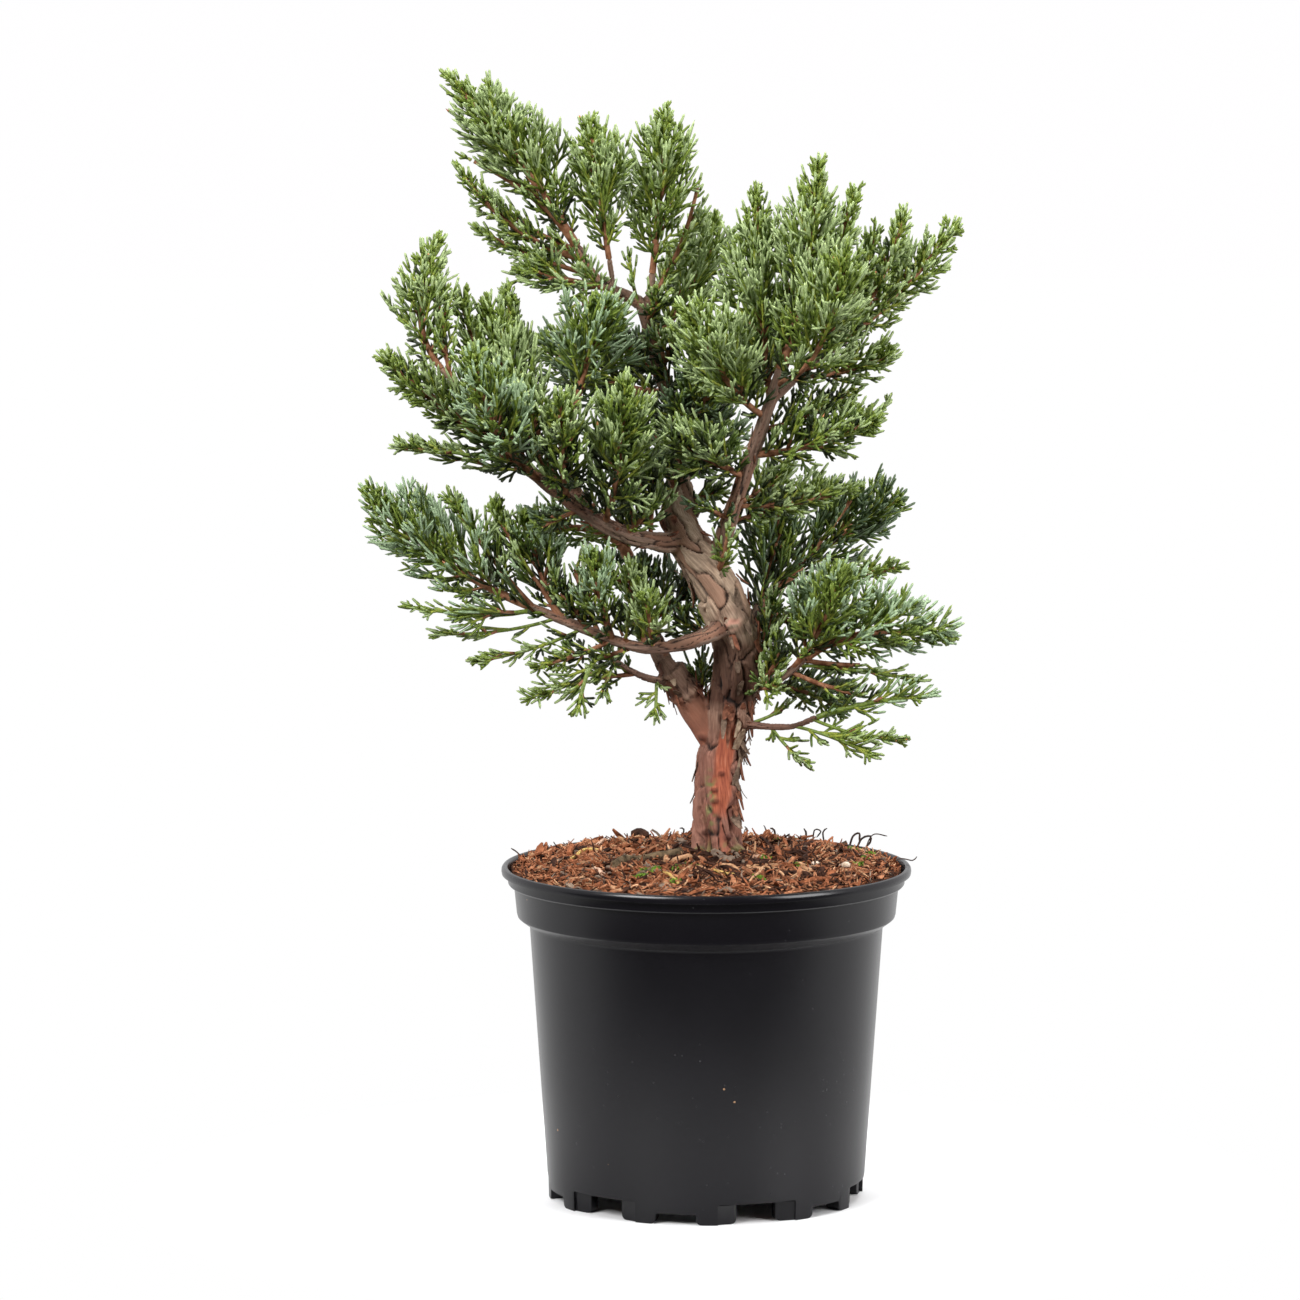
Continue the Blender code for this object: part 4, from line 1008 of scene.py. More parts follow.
small_crack = ramp_up(-small_border, -0.13, 0) * (1 - bare)

line_z = RIDGE_FROM[1] + (places[:, 0] - RIDGE_FROM[0]) * ((RIDGE_TO[1] - RIDGE_FROM[1])
                                                         / (RIDGE_TO[0] - RIDGE_FROM[0]))
above_line = height_z - line_z
on_front = ramp_up(np.sin(angle), 0.1, 0.5) * is_trunk
ridge = ramp_up(above_line, -0.6, 0.6) * np.exp(-np.maximum(above_line, 0) / 13) * on_front
# under the fold the bark is pressed in a little and darkened with painted shadow
under_ridge = ramp_up(-above_line, 0, 0.8) * np.exp(-np.maximum(-above_line, 0) / 3.0) * on_front

# The bark's stains and painted shade: shade under the low left bough and under the fold, a darker second
# stem above its collar, dark knots, and a darker rim round the scar.
swelling = np.zeros(len(places))
stain_and_shade = 0.92 * band(height_z, *BOUGH_SHADE_Z, 6, 8)
stain_and_shade *= is_trunk * ramp_up(np.sin(angle - 0.4), -0.5, 0.1)
stain_and_shade = np.maximum(stain_and_shade, 0.95 * under_ridge)
stain_and_shade = np.maximum(stain_and_shade, 0.7 * is_stem * ramp_up(along, STUB_COLLAR + 1, STUB_COLLAR + 4))
for spot, knot_radius, rise in KNOTS:
    away = np.linalg.norm((places - spot) * (1, 0.7, 1.5), axis=1) / knot_radius
    swelling += rise * np.exp(-away ** 2)
    stain_and_shade = np.maximum(stain_and_shade, 0.85 * np.exp(-(away / 1.15) ** 6))
spot, scar_radius, rise = SCAR
scar_away = np.linalg.norm((places - spot) * (1, 0.6, 1.1), axis=1) / scar_radius
swelling += rise * np.exp(-scar_away ** 2) * (0.7 + 0.9 * noise(places / 1.7, 54))
scar = np.exp(-(scar_away / 0.62) ** 4) * ramp_up(noise(places / 2.2, 55), 0.35, 0.6)
stain_and_shade = np.maximum(stain_and_shade * (1 - scar), 0.6 * np.exp(-(scar_away - 1) ** 2 * 6))
moss = np.exp(-((places[:, 0] - MOSS_X) / MOSS_HALF) ** 2) * band(height_z, *MOSS_Z, 8, 10)
moss = moss * on_front * ramp_up(noise(places / 1.8, 56), 0.45, 0.62)
foot_moss = is_trunk * ramp_up(-height_z, -168, -160) * ramp_up(noise(places / 3, 57), 0.5, 0.7)
moss = np.maximum(moss, foot_moss)

scale = np.clip(radius / 11, 0.3, 1)
plate_rise = PLATE_RISE * tone + PLATE_LIFT * up_plate + SMALL_RISE * small_tone
calm = is_trunk * ramp_up(height_z, *CALM_Z)
height = plate_rise * (1 - bare) - CRACK_DEPTH * crack - SMALL_CRACK_DEPTH * small_crack
height += (FIBRE_RISE * fibre * (1 - 0.65 * calm) + FINE_RISE * fine) * (1 - 0.75 * bare)
flute = FLUTE_DEPTH * radius * np.cos(FLUTES * (angle + height_z * 0.02)) * is_trunk * (1 - calm)
flute = flute * (1 + 1.8 * ramp_up(-height_z, -FOOT_FLUTES[1], -FOOT_FLUTES[0]))
collar = is_stem * 0.9 * np.exp(-((along - STUB_COLLAR - 1) / 1.6) ** 2)
relief = (height - MEAN_RISE) * scale * 0.9 + lump * LUMP_RISE * scale * (1 - 0.6 * calm)
relief += flute + collar + swelling
relief += RIDGE_RISE * ridge - 0.8 * under_ridge
relief -= SLIM * is_trunk * ramp_up(-height_z, -SLIM_Z[1], -SLIM_Z[0])
set_coordinates(wood.data, (places + outward * relief[:, None] + POT_MM) * MM)


def give_attribute(mesh, name, values, kind="FLOAT"):
    """Keep a value for each point of a mesh, for a material to read."""
    made = mesh.attributes.new(name, kind, "POINT")
    field = "vector" if kind == "FLOAT_VECTOR" else "value"
    made.data.foreach_set(field, values.astype(np.float32).ravel())


# relief is kept for the painted shade in the cracks
for label, values in (("bare", bare), ("relief", np.clip(0.42 + 0.3 * height, 0, 1)),
                      ("plate_tone", 0.6 * tone + 0.4 * small_tone), ("stain_and_shade", stain_and_shade),
                      ("scar", scar), ("moss", moss), ("streak", in_streak),
                      ("up_trunk", ramp_up(height_z, 150, 330)),
                      ("slender", ramp_up(-radius, -6.5, -4.5))):
    give_attribute(wood.data, label, values)
give_attribute(wood.data, "fibre_place", fibre_place, "FLOAT_VECTOR")


def read_attribute(nodes, name, output="Fac"):
    """The socket of a value kept on the mesh."""
    made = nodes.new("ShaderNodeAttribute")
    made.attribute_name = name
    return made.outputs[output]


HIGH_PLATES = ((0.25, (0.12, 0.068, 0.042)), (0.5, (0.36, 0.235, 0.155)), (0.75, (0.58, 0.43, 0.31)))
LOW_PLATES = ((0.25, (0.12, 0.04, 0.026)), (0.5, (0.24, 0.088, 0.057)), (0.75, (0.37, 0.17, 0.118)))
YOUNG_PLATES = ((0.25, (0.05, 0.022, 0.014)), (0.5, (0.15, 0.058, 0.036)), (0.75, (0.3, 0.16, 0.105)))
UNDERBARK = ((0.3, (0.2, 0.055, 0.03)), (0.55, (0.34, 0.105, 0.056)), (0.75, (0.42, 0.17, 0.105)))
STREAK = ((0.35, (0.25, 0.055, 0.028)), (0.6, (0.46, 0.125, 0.06)), (0.8, (0.54, 0.24, 0.155)))
WORN_LOW, WORN_HIGH = (0.27, 0.145, 0.105), (0.45, 0.36, 0.27)
DULL_UNDERBARK = (0.3, 0.185, 0.12)
BARK_MOSS = (0.2, 0.2, 0.07)
SCAR_WOOD = (0.6, 0.3, 0.22)
STAIN_AND_SHADE_KEEP = (0.3, 0.2, 0.17)    # a place darkened by stains and painted shade keeps this much of its colour


def plate_paint(nodes, links, pattern, up_trunk):
    """The plates: pinker low down, tan above, redder on slender limbs, weathered here and there."""
    low, high, young = (colour_stops(nodes, stops) for stops in (LOW_PLATES, HIGH_PLATES, YOUNG_PLATES))
    for plates_node in (low, high, young):
        links.new(pattern, plates_node.inputs["Fac"])
    plate = mix_colours(nodes, links, up_trunk, low.outputs["Color"], high.outputs["Color"])
    plate = mix_colours(nodes, links, read_attribute(nodes, "slender"), plate, young.outputs["Color"])
    weathered = remap(nodes, links, read_attribute(nodes, "plate_tone"), 0, 1, 0, 0.4)
    worn = mix_colours(nodes, links, up_trunk, WORN_LOW, WORN_HIGH)
    return mix_colours(nodes, links, weathered, plate, worn)


def underbark_paint(nodes, links, pattern, up_trunk):
    """Smooth cinnamon bark where a plate has come away, duller higher up."""
    under = colour_stops(nodes, UNDERBARK)
    links.new(pattern, under.inputs["Fac"])
    duller = mix_colours(nodes, links, 0.65, under.outputs["Color"], DULL_UNDERBARK)
    return mix_colours(nodes, links, up_trunk, under.outputs["Color"], duller)


def bark():
    """Grey-brown plates, pinker low down, over smooth cinnamon underbark, with stains, and painted shade
    in the cracks, under the low left bough and under the fold.
    """
    made, shader, nodes, links = new_material("juniper_bark", (0.3, 0.2, 0.15), 0.85)
    fibres = use_group(nodes, mottle, **{"Patch Scale": 1.3, "Grain Scale": 5.0})
    blotch = use_group(nodes, mottle, **{"Patch Scale": 90.0, "Grain Scale": 700.0})
    place = nodes.new("ShaderNodeTexCoord")
    links.new(read_attribute(nodes, "fibre_place", "Vector"), fibres.inputs["Vector"])
    links.new(place.outputs["Object"], blotch.inputs["Vector"])
    up_trunk = remap(nodes, links, read_attribute(nodes, "up_trunk"), 0.3, 0.6)
    plate = plate_paint(nodes, links, fibres.outputs["Patch"], up_trunk)
    underbark = underbark_paint(nodes, links, blotch.outputs["Patch"], up_trunk)
    streak = colour_stops(nodes, STREAK)
    links.new(fibres.outputs["Patch"], streak.inputs["Fac"])
    surface = mix_colours(nodes, links, read_attribute(nodes, "bare"), plate, underbark)
    for label, paint in (("streak", streak.outputs["Color"]), ("moss", BARK_MOSS), ("scar", SCAR_WOOD)):
        surface = mix_colours(nodes, links, read_attribute(nodes, label), surface, paint)
    # stains, and painted shade under the low left bough and the fold
    darker = mix_colours(nodes, links, 1.0, surface, STAIN_AND_SHADE_KEEP, "MULTIPLY")
    surface = mix_colours(nodes, links, read_attribute(nodes, "stain_and_shade"), surface, darker)
    # painted shade in the cracks: the lower the relief, the darker the bark, down to 0.12 of its colour
    depth = remap(nodes, links, read_attribute(nodes, "relief"), 0.05, 0.42, 0.12, 1)
    shade = nodes.new("ShaderNodeCombineColor")
    for channel in ("Red", "Green", "Blue"):
        links.new(depth, shade.inputs[channel])
    finished = mix_colours(nodes, links, 1.0, surface, shade.outputs["Color"], "MULTIPLY")
    links.new(finished, shader.inputs["Base Color"])
    add_bump(nodes, links, shader, fibres.outputs["Grain"], 0.55, 0.5)
    return made


wood.data.materials.append(bark())
only(wood)
bpy.ops.object.shade_smooth()
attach(wood, "root")
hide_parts(*LIMBS)


# Loose bark: thin strips that have let go at one end and curl away, most of them down the
# trunk's right side, and rough scales under the forks.
STRIP_RINGS = 6
STRIP_THICK = 0.4           # in millimetres


def strips(name, start, run, out, length, width, lift, curl, tint, materials):
    """Thin tapering strips fixed at their start: rows of places and directions, in millimetres."""
    side = unit(np.cross(out, run))
    points = np.empty((len(start), STRIP_RINGS, 4, 3))
    for ring in range(STRIP_RINGS):
        t = ring / (STRIP_RINGS - 1)
        middle = start + run * (length * t)[:, None] + out * (lift * t ** 2 - 0.5 * (1 - t))[:, None]
        lean = side * (curl * t ** 2)[:, None]
        half = (width / 2 * (0.75 + 0.25 * math.sin(math.pi * t)) * (1 - 0.55 * t ** 3))[:, None]
        lifted = 0.35 * half * t
        for corner, (across, up) in enumerate(((-1, -1), (1, -1), (1, 1), (-1, 1))):
            rise = STRIP_THICK / 2 * up + lifted
            points[:, ring, corner] = middle + lean + side * half * across + out * rise
    first = np.arange(len(start))[:, None] * STRIP_RINGS * 4
    blocks = ring_faces(first, STRIP_RINGS, 4) + end_faces(first, STRIP_RINGS, 4)
    world_points = (points.reshape(-1, 3) + POT_MM) * MM
    return array_mesh(name, world_points, blocks, [tint] * len(blocks), materials, smooth=False)


def on_surface(name, shares, angles):
    """Places on a limb's bark, with the way out from it and the way along it."""
    path = paths[name]
    rows, onward = at_share(path, shares)
    _, first_normal, _ = carried_frames(path)
    distance = lengths_along(path)
    wanted = np.asarray(shares) * distance[-1]
    normal = unit(np.stack([np.interp(wanted, distance, column) for column in first_normal.T], axis=-1))
    out = normal * np.cos(angles)[:, None] + np.cross(onward, normal) * np.sin(angles)[:, None]
    return rows[:, :3] + out * rows[:, 3:], out, onward


SHAGGY = (                  # limb, strips, first and last share, angle's middle and half range
    ("trunk", 34, 0.08, 0.42, FRONT + 1.35, 0.75), ("trunk", 30, 0.34, 0.62, FRONT + 0.9, 1.5),
    ("trunk", 26, 0.62, 0.98, FRONT, 3.1), ("trunk", 16, 0.05, 0.5, FRONT - 2.6, 1.3),
    ("second_stem", 16, 0.62, 0.98, 0, 3.1), ("left_bough", 26, 0.1, 0.6, 0, 3.1),
    ("right_bough", 20, 0.05, 0.7, 0, 3.1), ("leader", 16, 0.1, 0.9, 0, 3.1),
    ("low_left_bough", 8, 0.05, 0.4, 0, 3.1), ("top_left_bough", 8, 0.1, 0.9, 0, 3.1),
)
FLAKE_TONES = (             # name, dark and light tone, share of the strips
    ("grey_bark", (0.07, 0.045, 0.032), (0.25, 0.17, 0.12), 0.45),
    ("red_bark", (0.09, 0.032, 0.02), (0.3, 0.12, 0.07), 0.48),
    ("pale_bark", (0.2, 0.13, 0.085), (0.45, 0.33, 0.23), 0.07),
)
flake_stuff = [natural(tone_name + "_flake", dark, light, 0.85, 500.0)
               for tone_name, dark, light, _ in FLAKE_TONES]
flake_shares = [share for *_, share in FLAKE_TONES]
loose = []
for limb_name, count, low, high, middle, half_range in SHAGGY:
    start, out, onward = on_surface(limb_name, dice.uniform(low, high, count),
                                    middle + dice.uniform(-half_range, half_range, count))
    across = np.cross(onward, out)
    way = np.where(dice.uniform(0, 1, count) < 0.7, -1.0, 1.0)[:, None]
    run = unit(onward * way + across * dice.normal(0.1, 0.14, count)[:, None])
    thin = min(1.0, paths[limb_name][:, 3].mean() / 9)
    length = thin * dice.uniform(4, 12, count)
    width = thin * dice.uniform(1.6, 4.4, count)
    lift = thin * dice.gamma(2, 0.9, count)
    curl = dice.normal(0, 0.8, count)
    tint = dice.choice(len(FLAKE_TONES), count, p=flake_shares)
    loose.append((start, run, out, length, width, lift, curl, tint))
flakes = strips("bark_flakes", *[np.concatenate(column) for column in zip(*loose)], flake_stuff)
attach(flakes, "root")


# ---- The foliage --------------------------------------------------------------------------
# Each mass grows on from its limb by the same rule: a stem that bends to its tip, shoots round
# it by the golden angle, and along each shoot alternate branchlets that fork in their turn. The
# branchlets are cords of scale leaves about 1.5 mm thick, blue-green outside, greener inside, and darker
# in the heart with painted shade.
MASSES = {      # name: part of the crown, limb, share, heading, rise, length, curl, reach, fullness
    "top_left_plume": ("top", "top_left_bough", 1.00, -172, 53, 100, -3, 32, 0.3),
    "top_left_side": ("top", "top_left_bough", 0.84, -160, 35, 76, 12, 17, 0),
    "top_left_skirt": ("top", "top_left_bough", 0.38, -158, 13, 48, 1, 30, 0.34),
    "top_mid_plume": ("top", "top_mid_shoot", 1.00, -151, 81, 66, -1, 29, 0.34),
    "top_right_plume": ("top", "top_right_shoot", 1.00, -15, 85, 77, -2, 31, 0.42),
    "rear_top_plume": ("top", "leader", 0.79, 48, 52, 72, 14, 32, 0.36),
    "right_inner_crest": ("right", "right_bough", 0.85, 105, 76, 101, 4, 31, 0.34),
    "right_crest": ("right", "right_bough", 1.00, 29, 79, 98, 3, 30, 0.4),
    "right_wing_plume": ("right", "right_wing_bough", 1.00, 13, 44, 78, -6, 22, 0.3),
    "right_front_upper": ("right_front", "right_bough", 0.78, -142, 52, 70, 13, 34, 0.42),
    "right_front_plume": ("right_front", "right_bough", 0.93, -42, 58, 78, 22, 34, 0.42),
    "right_front_pad": ("right_front", "right_bough", 0.50, -137, 22, 54, 0, 30, 0.42),
    "right_low_side": ("right_front", "right_bough", 0.60, -8, 16, 62, 6, 28, 0.3),
    "right_side_plume": ("right", "right_wing_bough", 0.40, 4, 14, 46, 10, 22, 0),
    "left_crest": ("left", "left_crest_bough", 1.00, 97, 80, 60, 4, 22, 0.25),
    "left_outer_plume": ("left", "left_bough", 1.00, -172, 38, 81, -3, 30, 0.38),
    "left_outer_pad": ("left", "left_bough", 0.93, 170, 12, 56, 4, 17, 0),
    "left_upper_plume": ("left", "left_bough", 0.76, 160, 68, 95, 6, 36, 0.42),
    "left_front_plume": ("left", "left_bough", 0.86, -130, 52, 80, 15, 32, 0.4),
    "center_left_crest": ("middle", "center_left_bough", 1.00, -33, 70, 52, 7, 34, 0.42),
    "center_left_front": ("middle", "left_bough", 0.70, -94, 52, 67, 15, 28, 0.4),
    "center_front_plume": ("middle", "left_bough", 0.47, -76, 60, 82, 13, 32, 0.42),
    "heart_plume": ("right_front", "leader", 0.25, -70, 38, 60, 10, 28, 0.4),
    "heart_rear_pad": ("rear", "leader", 0.24, 130, -8, 60, -6, 34, 0.36),
    "rear_left_pad": ("rear", "leader", 0.50, 143, 15, 81, 9, 38, 0.42),
    "rear_right_pad": ("rear", "leader", 0.36, 42, 33, 89, 9, 38, 0.42),
    "rear_mid_pad": ("rear", "leader", 0.12, 75, 16, 78, 15, 36, 0.4),
    "low_left_tip": ("low_left", "low_left_bough", 1.00, 180, 35, 94, -2, 34, 0.3),
    "low_left_upper": ("low_left", "low_left_bough", 0.86, 140, 66, 51, 3, 30, 0.25),
    "low_left_inner": ("low_left", "low_left_bough", 0.60, -121, 67, 47, 6, 26, 0),
    "low_left_rear": ("low_left", "inner_left_bough", 1.00, 180, 14, 50, 13, 30, 0),
    "low_left_droop": ("low_left", "low_left_bough", 0.90, -165, -1, 46, -5, 28, 0.25),
    "low_left_dangle": ("low_left", "low_left_shoot", 1.00, -139, -52, 33, -11, 20, 0),
    "low_rear_tip": ("low_right", "rear_right_bough", 1.00, 10, 34, 69, -3, 34, 0.4),
    "low_rear_inner": ("low_right", "rear_right_bough", 0.50, 55, 68, 60, 10, 32, 0.36),
    "low_right_upper": ("low_right", "low_right_bough", 0.78, -35, 60, 58, 7, 32, 0.36),
    "low_right_tip": ("low_right", "low_right_bough", 1.00, 5, 6, 70, -3, 32, 0.3),
    "low_right_side": ("low_right", "low_right_shoot", 1.00, -4, 11, 56, -10, 17, 0),
    "low_right_droop": ("low_right", "low_right_shoot", 0.74, -22, -18, 44, -5, 20, 0),
    "fork_tuft": ("middle", "trunk", 0.72, -70, 52, 36, 14, 11, 0),
}
SPRAYS = {      # lesser sprays that fill in between them, in the same terms
    "behind_fork": ("middle", "trunk", 0.55, 150, 22, 50, 8, 24, 0.3),
    "behind_stem": ("middle", "inner_left_bough", 0.5, 20, 42, 44, 5, 22, 0.3),
    "behind_trunk": ("middle", "rear_right_bough", 0.2, 60, 20, 40, 5, 22, 0.3),
    "right_inner": ("low_right", "rear_right_bough", 0.6, -20, -22, 42, -6, 22, 0),
    "low_right_inner": ("low_right", "low_right_bough", 0.3, -70, 8, 30, 6, 16, 0),
    "low_right_rear": ("low_right", "low_right_bough", 0.45, 30, -20, 46, -5, 20, 0.3),
    "low_left_heel": ("low_left", "low_left_bough", 0.42, -100, 58, 34, 6, 18, 0),
    "crest_side": ("left", "left_crest_bough", 0.9, 157, 82, 50, 3, 16, 0),
    "right_mid_side": ("right_front", "right_bough", 0.72, 20, 22, 54, 8, 24, 0.3),
    "right_gap": ("right_front", "right_bough", 0.28, 26, 17, 53, 4, 20, 0.3),
    "right_gap_high": ("right_front", "right_bough", 0.36, 51, 19, 44, 4, 18, 0.3),
    "rear_right_skirt": ("low_right", "rear_right_bough", 0.80, 8, 50, 64, 4, 18, 0.3),
    "rear_right_side": ("low_right", "rear_right_bough", 0.95, -6, 9, 58, 2, 14, 0.3),
    "fork_inside": ("middle", "trunk", 0.95, -10, 16, 24, 6, 13, 0.3),
    "fork_front": ("middle", "left_bough", 0.22, -74, 86, 36, 8, 17, 0.3),
    "under_left": ("rear", "inner_left_bough", 0.45, -115, 79, 36, 4, 14, 0.3),
    "inner_left_up": ("rear", "inner_left_bough", 0.70, -172, 45, 33, 6, 17, 0.3),
    "inner_left_low": ("rear", "inner_left_bough", 0.30, 167, 50, 27, 4, 15, 0.3),
    "stem_gap": ("rear", "second_stem", 0.35, 84, 72, 31, 4, 12, 0.3),
    "trunk_right": ("low_right", "low_right_bough", 0.20, 7, 44, 26, 6, 12, 0.3),
    "tip_under": ("low_right", "low_right_bough", 0.85, 1, -8, 60, -4, 14, 0),
    "leader_front": ("middle", "leader", 0.62, -73, 40, 32, 8, 20, 0.36),
    "leader_front_low": ("middle", "leader", 0.32, -95, 34, 31, 8, 18, 0.36),
    "leader_front_top": ("middle", "leader", 0.90, -67, 38, 23, 6, 13, 0.3),
    "left_shoulder": ("left", "left_bough", 0.90, 168, 67, 91, 6, 17, 0.3),
    "left_shoulder_in": ("left", "left_bough", 0.72, 148, 72, 101, 6, 17, 0.3),
    "top_left_under": ("top", "top_left_bough", 0.95, -178, 32, 54, 8, 18, 0.3),
    "top_right_outer": ("top", "top_right_shoot", 0.50, 10, 68, 64, 8, 14, 0.3),
    "crest_shoulder": ("right", "right_bough", 0.97, 8, 68, 93, 6, 16, 0.3),
    "wing_back": ("right", "right_wing_bough", 0.95, 4, 64, 69, 8, 16, 0.3),
    "wing_back_in": ("right", "right_wing_bough", 0.70, 12, 67, 65, 8, 16, 0.3),
    "top_fork_wisp": ("top", "top_right_shoot", 0.12, -137, 74, 41, 10, 8, 0),
    "low_left_ridge": ("low_left", "low_left_bough", 0.82, 169, 57, 65, 4, 15, 0.3),
    "low_left_ridge_out": ("low_left", "low_left_bough", 0.97, 174, 53, 67, 4, 15, 0.3),
    "left_pad_wisp": ("left", "left_bough", 0.97, 180, 8, 59, -4, 14, 0),
    "low_left_wisp_1": ("low_left", "low_left_bough", 0.96, -173, 2, 61, 6, 15, 0),
    "low_left_wisp_2": ("low_left", "low_left_bough", 0.86, -178, -7, 59, 6, 15, 0),
    "low_left_wisp_3": ("low_left", "low_left_bough", 0.74, -172, -16, 54, 5, 14, 0),
    "low_left_wisp_4": ("low_left", "low_left_shoot", 0.95, -124, -52, 22, 5, 14, 0),
    "stem_wisp": ("low_left", "low_left_shoot", 0.30, -94, -59, 21, 3, 9, 0),
    "low_right_wisp_1": ("low_right", "low_right_shoot", 0.50, -29, -40, 28, 6, 12, 0),
    "low_right_wisp_2": ("low_right", "low_right_shoot", 0.25, -11, 27, 28, 6, 12, 0),
    "low_left_mid": ("low_left", "low_left_bough", 0.66, 130, 59, 45, 4, 16, 0.3),
    "low_left_fill_1": ("low_left", "low_left_bough", 0.50, 176, -16, 30, 4, 16, 0),
    "low_left_fill_2": ("low_left", "low_left_shoot", 0.60, 178, -4, 22, 4, 16, 0),
    "low_left_fill_3": ("low_left", "low_left_bough", 0.60, -172, -18, 40, 4, 16, 0),
    "tip_under_2": ("low_right", "low_right_bough", 0.95, -1, -2, 45, 4, 14, 0.3),
    "leader_cover_1": ("middle", "leader", 0.10, -102, 63, 35, 4, 16, 0.36),
    "leader_cover_2": ("middle", "leader", 0.45, -104, 60, 40, 4, 15, 0.36),
    "low_left_wisp_5": ("low_left", "low_left_shoot", 0.95, -165, -22, 46, 5, 14, 0),
    "low_right_wisp_3": ("low_right", "low_right_shoot", 0.95, -11, -12, 44, 6, 12, 0),
    "right_side_wisp": ("right", "right_bough", 0.62, 12, 17, 69, 4, 14, 0),
    "heart_left": ("middle", "leader", 0.55, -150, 48, 40, 6, 18, 0.36),
    "heart_right": ("middle", "leader", 0.40, -30, 55, 42, 6, 18, 0.36),
    "heart_low": ("middle", "leader", 0.05, -85, 40, 34, 6, 18, 0.36),
    "fork_rear": ("middle", "trunk", 0.93, -160, 40, 40, 6, 18, 0.36),
    "skirt_left": ("top", "top_left_bough", 0.62, -166, 22, 62, 4, 15, 0.3),
    "skirt_low": ("top", "top_left_bough", 0.20, -166, -4, 46, 6, 13, 0.3),
    "right_gap_low": ("right_front", "right_bough", 0.36, 8, 8, 60, 6, 15, 0.3),
    "plume_side": ("top", "top_left_bough", 1.00, -176, 38, 68, 8, 14, 0.3),
    "tip_under_3": ("low_right", "low_right_bough", 0.75, -6, -14, 58, 6, 12, 0),
    "low_left_fill_4": ("low_left", "low_left_bough", 0.80, 162, 53, 50, 6, 18, 0.3),
    "low_left_fill_5": ("low_left", "low_left_bough", 0.70, -167, 57, 40, 6, 18, 0.3),
    "low_left_fill_6": ("low_left", "low_left_bough", 0.52, -156, 60, 30, 6, 18, 0.3),
    "low_left_fill_7": ("low_left", "low_left_bough", 0.45, 124, 69, 42, 6, 16, 0.3),
    "right_fill_1": ("low_right", "low_right_bough", 0.15, 14, 72, 48, 6, 16, 0.3),
    "right_fill_2": ("low_right", "low_right_bough", 0.35, -36, 58, 43, 6, 16, 0.3),
    "left_fork_fill": ("middle", "left_bough", 0.30, 108, 70, 26, 6, 14, 0.3),
    "left_under_fill": ("middle", "left_bough", 0.60, -159, -21, 26, -4, 14, 0.3),
    "front_fill": ("middle", "left_bough", 0.55, -78, 49, 30, 6, 18, 0.36),
    "front_fill_2": ("middle", "left_bough", 0.35, -55, 37, 29, 6, 16, 0.36),
    "right_inner_fill": ("middle", "right_bough", 0.30, -126, 23, 26, 6, 16, 0.36),
    "fork_cover_1": ("middle", "leader", 0.04, -75, 24, 24, 6, 16, 0.36),
    "fork_cover_2": ("middle", "trunk", 0.97, -111, 45, 28, 6, 16, 0.36),
    "fork_cover_3": ("middle", "leader", 0.20, -65, -16, 26, 6, 16, 0.36),
}
STRANDS = ("low_left_dangle", "low_left_droop", "left_outer_pad", "low_right_side",
           "low_right_droop", "tip_under")      # long, thin and open, like every wisp
Growth = namedtuple("Growth", "part limb share heading rise length curl reach fullness")
GROWTH = {name: Growth(*spec) for name, spec in {**MASSES, **SPRAYS}.items()}
STEM_R = 1.7                # a stem's radius at its foot on a mass,
SPRAY_R = 1.2               # on a lesser spray,
STRAND_R = 0.85             # and on a thin strand
STEM_TIP_R = 0.8
BEND_AT = 0.45              # share of a stem's length at which it bends
LEAFY_FROM = 0.12           # share of a stem's length below which it is bare
SPREAD_TIP = 0.3            # reach of the last shoots, as a share of the longest's
BARE_REACH = 3.0
GOLDEN_ANGLE = math.radians(137.5)
SPLAY_BASE = math.radians(62)
SPLAY_TIP = math.radians(26)
LIFT = 0.1                  # how much a shoot turns up
OUTREACH = (1.0, 8.0)       # how far a shoot may pass its mass's sleeve, from most to few,
SLEEVE = 0.8                # which is this share of the shoots' reach,
SLEEVE_TIP = 0.5            # and closes to this at the stem's tip
SHARED_EDGE = 4.0           # how far two masses' leaves may mingle
SHOOT_STEP = 2.3            # spacing of the shoots on a full mass's stem
THIN_STEP = 2.8             # on an open one's
STRAND_STEP = 5.0           # and on a mass of thin strands
UNDERSIDE = 0.35            # how much shorter the shoots under a stem are
LAST_SHOOT = 5.5            # the last shoot's distance from the stem's tip
BRANCHLET_STEP = 2.6
BRANCHLET_R = 0.77
BRANCHLET_L = {False: (0.58, 15.5), True: (0.8, 17)}    # share of its shoot, and longest; True: a strand
CROWDED = 7.0               # sleeves nearer than this shade a leaf
UP = np.array((0.0, 0.0, 1.0))


def is_strand(name):
    """True for a long, thin, open mass or spray."""
    return name in STRANDS or "wisp" in name


def heading_vector(heading, rise):
    """A direction from its angle round from the right and its rise, in degrees."""
    a, b = math.radians(heading), math.radians(rise)
    return np.array((math.cos(b) * math.cos(a), math.cos(b) * math.sin(a), math.sin(b)))


